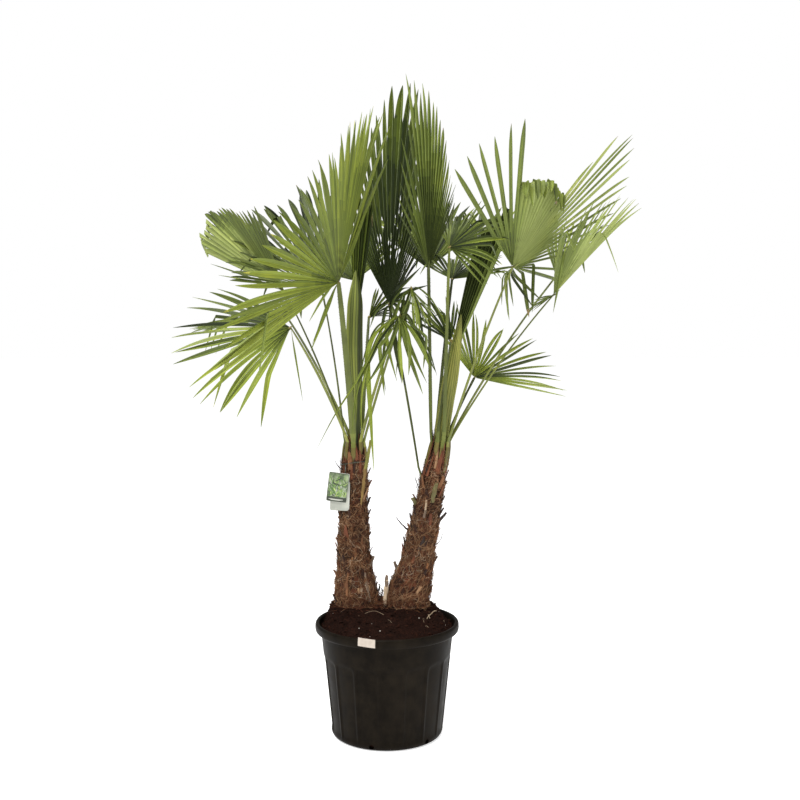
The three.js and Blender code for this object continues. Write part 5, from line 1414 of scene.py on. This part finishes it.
def rot(v, axis, deg):
    a = math.radians(deg)
    x, y, z = v
    c, s = math.cos(a), math.sin(a)
    if axis == "y":
        return np.array([c * x + s * z, y, -s * x + c * z])
    return np.array([c * x - s * y, s * x + c * y, z])


def labels():
    white = card_material("card_white", (0.34, 0.35, 0.30, 1), (0.52, 0.52, 0.45, 1), 18.0)
    green = card_material("card_green", (0.070, 0.150, 0.030, 1), (0.190, 0.300, 0.070, 1), 55.0, 0.3, (1, 1, 0.35))
    soft = card_material("card_soft", (0.055, 0.085, 0.035, 1), (0.30, 0.36, 0.20, 1), 48.0, 0.3)
    dark = card_material("card_dark", (0.020, 0.026, 0.016, 1), (0.040, 0.050, 0.028, 1), 30.0, 0.35)
    bright = card_material("card_bright", (0.24, 0.36, 0.07, 1), (0.42, 0.52, 0.17, 1), 70.0, 0.3)
    grey = card_material("card_grey", (0.22, 0.26, 0.18, 1), (0.42, 0.45, 0.36, 1), 60.0, 0.3)
    mats = [white, green, dark, soft, bright, grey]
    # The frame's cards turn by 7 degrees about Y and -4 about Z, and the rear one by 5 more.
    spin = lambda v: rot(rot(np.array(v, float), "z", -4), "y", 7)
    ux, un, uz = spin([1, 0, 0]), spin([0, -1, 0]), spin([0, 0, 1])
    at = np.array([-151.0, 18.0, 760.0])
    heap = Heap()
    slab(heap, at, ux, uz, un, 64, 91, 0.9, 0, bow=1.6)
    # printed face: loose leaf strokes over a dark ground, above a blank strip
    slab(heap, at + un * 0.55, ux, uz, un, 62, 89, 0.25, 2, bow=1.6, radius=2)
    slab(heap, at + uz * 6.5 + un * 0.80, ux, uz, un, 60, 73, 0.25, 3, bow=1.55, radius=1.5)
    slab(heap, at - uz * 38.5 - ux * 2 + un * 0.80, ux, uz, un, 44, 4.5, 0.25, 0, bow=1.5, rows=3, radius=1.0)
    r = np.random.RandomState(91)
    for i in range(84):
        layer = 1 + i / 84
        x0, z0 = r.uniform(-26, 26), r.uniform(-30, 24)
        ang = math.radians(r.uniform(25, 155))
        ln = r.uniform(12, 30)
        ca, sa = math.cos(ang), math.sin(ang)
        k = np.linspace(0, 1, 7)
        x = x0 + (k - 0.4) * ca * ln
        z = z0 + (k - 0.4) * sa * ln + 1.5 * np.sin(3 * k + i)
        k_in = min(1.0, 28.5 / max(np.abs(x).max(), 1e-6))
        x, z = x * k_in, np.clip(z, -28.5, 41)
        lift = 1.6 * (1 - (2 * x / 64) ** 2) + 0.56 * np.sin(z / 91 * 3) + 0.90 + 0.16 * layer
        path = at + x[:, None] * ux + z[:, None] * uz + lift[:, None] * un
        tone = [1, 4, 5, 2][r.choice(4, p=[0.42, 0.26, 0.17, 0.15])]
        tube(heap, path, r.uniform(1.2, 2.6) * np.sin(np.pi * (0.06 + 0.88 * k)), np.full(7, 0.10), np.repeat([(-sa * ux + ca * uz)], 7, 0), tone, sides=6)
    ob = heap.build("tag_front_card", mats, 30)
    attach(ob, "root")
    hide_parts("tag_front")
    heap = Heap()
    turn = lambda v: spin(rot(np.array(v, float), "y", -5))
    bx, bn, bz = turn([1, 0, 0]), turn([0, -1, 0]), turn([0, 0, 1])
    slab(heap, at + ux * 9 - un * 4 - uz * 26, bx, bz, bn, 60, 91, 0.8, 0, bow=1.2)
    # loop that ties both cards to the trunk
    cx, cy, rr = along(TRUNK["L"], [832.0])
    k = np.linspace(0, 2 * math.pi, 49)[:-1]
    ring = np.stack([cx[0] + (rr[0] + 1.5) * np.cos(k), cy[0] + (rr[0] + 1.5) * np.sin(k), 832 + 9 * np.cos(k + 0.9) - 4], -1)
    ring = np.concatenate([ring, ring[:1]])
    tube(heap, ring, np.full(49, 1.3), np.full(49, 0.6), np.repeat([[0, 0, 1.0]], 49, 0), 2, sides=6)
    anchor = ring[np.argmin(np.abs(k - math.radians(232)))]
    hang = at + uz * 42 + ux * 17 + un * 0.4
    kk = np.linspace(0, 1, 14)[:, None]
    mid = (anchor + hang) / 2 + np.array([2, -8, 6])
    path = bezier(anchor, mid, hang, kk[:, 0])
    tube(heap, path, np.full(14, 1.4), np.full(14, 0.6), np.repeat([[1.0, 0, 0.2]], 14, 0), 2, sides=6)
    ob = heap.build("tag_back_card", mats, 30)
    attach(ob, "root")
    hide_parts("tag_back")
    # blank patch on the lip, curved to it
    heap = Heap()
    w, h = 52.0, 24.5
    cols, rows = 16, 10
    lip = np.array(LIP[3:13])
    pts = []
    for layer in (0.75, 0.30):
        for j in range(rows + 1):
            for i in range(cols + 1):
                x = (i / cols - 0.5) * w
                z = POT_HEIGHT - 8.6 + h * (j / rows - 0.5) - 0.07 * x
                # its upper edge stands a little free of the rolled lip
                rad = float(np.interp(min(z, 345.0), lip[:, 1], lip[:, 0])) + layer - 0.10 * max(0.0, z - 345.0)
                ang = math.radians(-105) + x / POT_RIM_R
                pts.append([rad * math.cos(ang), rad * math.sin(ang), z])
    n = (cols + 1) * (rows + 1)
    q = grid_faces(rows + 1, cols + 1, False)
    rim = list(range(cols + 1)) + [(j + 1) * (cols + 1) + cols for j in range(rows)] + [rows * (cols + 1) + i for i in range(cols - 1, -1, -1)] + [j * (cols + 1) for j in range(rows - 1, 0, -1)]
    faces = [list(x) for x in q] + [list((x + n)[::-1]) for x in q]
    for i in range(len(rim)):
        a, b = rim[i], rim[(i + 1) % len(rim)]
        faces.append([b, a, a + n, b + n])
    heap.add(np.array(pts), faces, 0)
    paper = card_material("label_paper", (0.405, 0.345, 0.288, 1), (0.470, 0.410, 0.350, 1), 60.0, 0.6)
    ob = heap.build("sticker_paper", [paper], 30)
    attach(ob, "root")
    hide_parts("sticker")


labels()

# ---------------------------------------------------------------- studio
def studio():
    scene = bpy.context.scene
    scene.view_settings.view_transform = "Standard"
    world = bpy.data.worlds.new("studio")
    scene.world = world
    world.use_nodes = True
    nt = world.node_tree
    bg = nt.nodes["Background"]
    bg.inputs["Color"].default_value = (1.0, 1.0, 1.0, 1)
    bg.inputs["Strength"].default_value = 1.0
    soft = nt.nodes.new("ShaderNodeBackground")
    soft.inputs["Color"].default_value = (0.98, 0.99, 1.0, 1)
    soft.inputs["Strength"].default_value = 0.50
    path = nt.nodes.new("ShaderNodeLightPath")
    mix = nt.nodes.new("ShaderNodeMixShader")
    nt.links.new(path.outputs["Is Camera Ray"], mix.inputs[0])
    nt.links.new(soft.outputs[0], mix.inputs[1])
    nt.links.new(bg.outputs[0], mix.inputs[2])
    nt.links.new(mix.outputs[0], nt.nodes["World Output"].inputs["Surface"])

    me = bpy.data.meshes.new("studio_floor")
    s = 40.0
    me.from_pydata([(-s, -s, -0.0005), (s, -s, -0.0005), (s, s, -0.0005), (-s, s, -0.0005)], [], [(0, 1, 2, 3)])
    floor = bpy.data.objects.new("studio_floor", me)
    scene.collection.objects.link(floor)
    m = Mat("studio_floor")
    m.p.inputs["Base Color"].default_value = (0.86, 0.86, 0.86, 1)
    m.p.inputs["Roughness"].default_value = 0.9
    m.p.inputs["Specular IOR Level"].default_value = 0.1
    m.p.inputs["Emission Color"].default_value = (1, 1, 1, 1)
    m.p.inputs["Emission Strength"].default_value = 0.62
    me.materials.append(m.m)

    def area(name, at, to, size, power, colour=(1, 1, 1)):
        d = bpy.data.lights.new(name, "AREA")
        d.shape, d.size, d.energy, d.color = "SQUARE", size, power, colour
        o = bpy.data.objects.new(name, d)
        scene.collection.objects.link(o)
        o.location = at
        o.rotation_euler = (Vector(to) - Vector(at)).to_track_quat("-Z", "Y").to_euler()
        return o

    area("key", (-1.6, -2.6, 4.6), (0.0, 0.0, 1.2), 2.2, 270)
    area("top", (0.8, 0.6, 5.2), (0.1, 0.0, 1.0), 3.0, 150)
    area("fill", (3.4, -2.6, 1.8), (0.0, 0.0, 1.0), 2.5, 34)

    cam = bpy.data.cameras.new("camera")
    cam.lens, cam.sensor_width = 48.4, 36.0
    cam.clip_end = 200
    ob = bpy.data.objects.new("camera", cam)
    scene.collection.objects.link(ob)
    ob.location = (0.040, -3.264, 1.247)
    ob.rotation_euler = (math.radians(86.2), 0, 0)
    scene.camera = ob


studio()
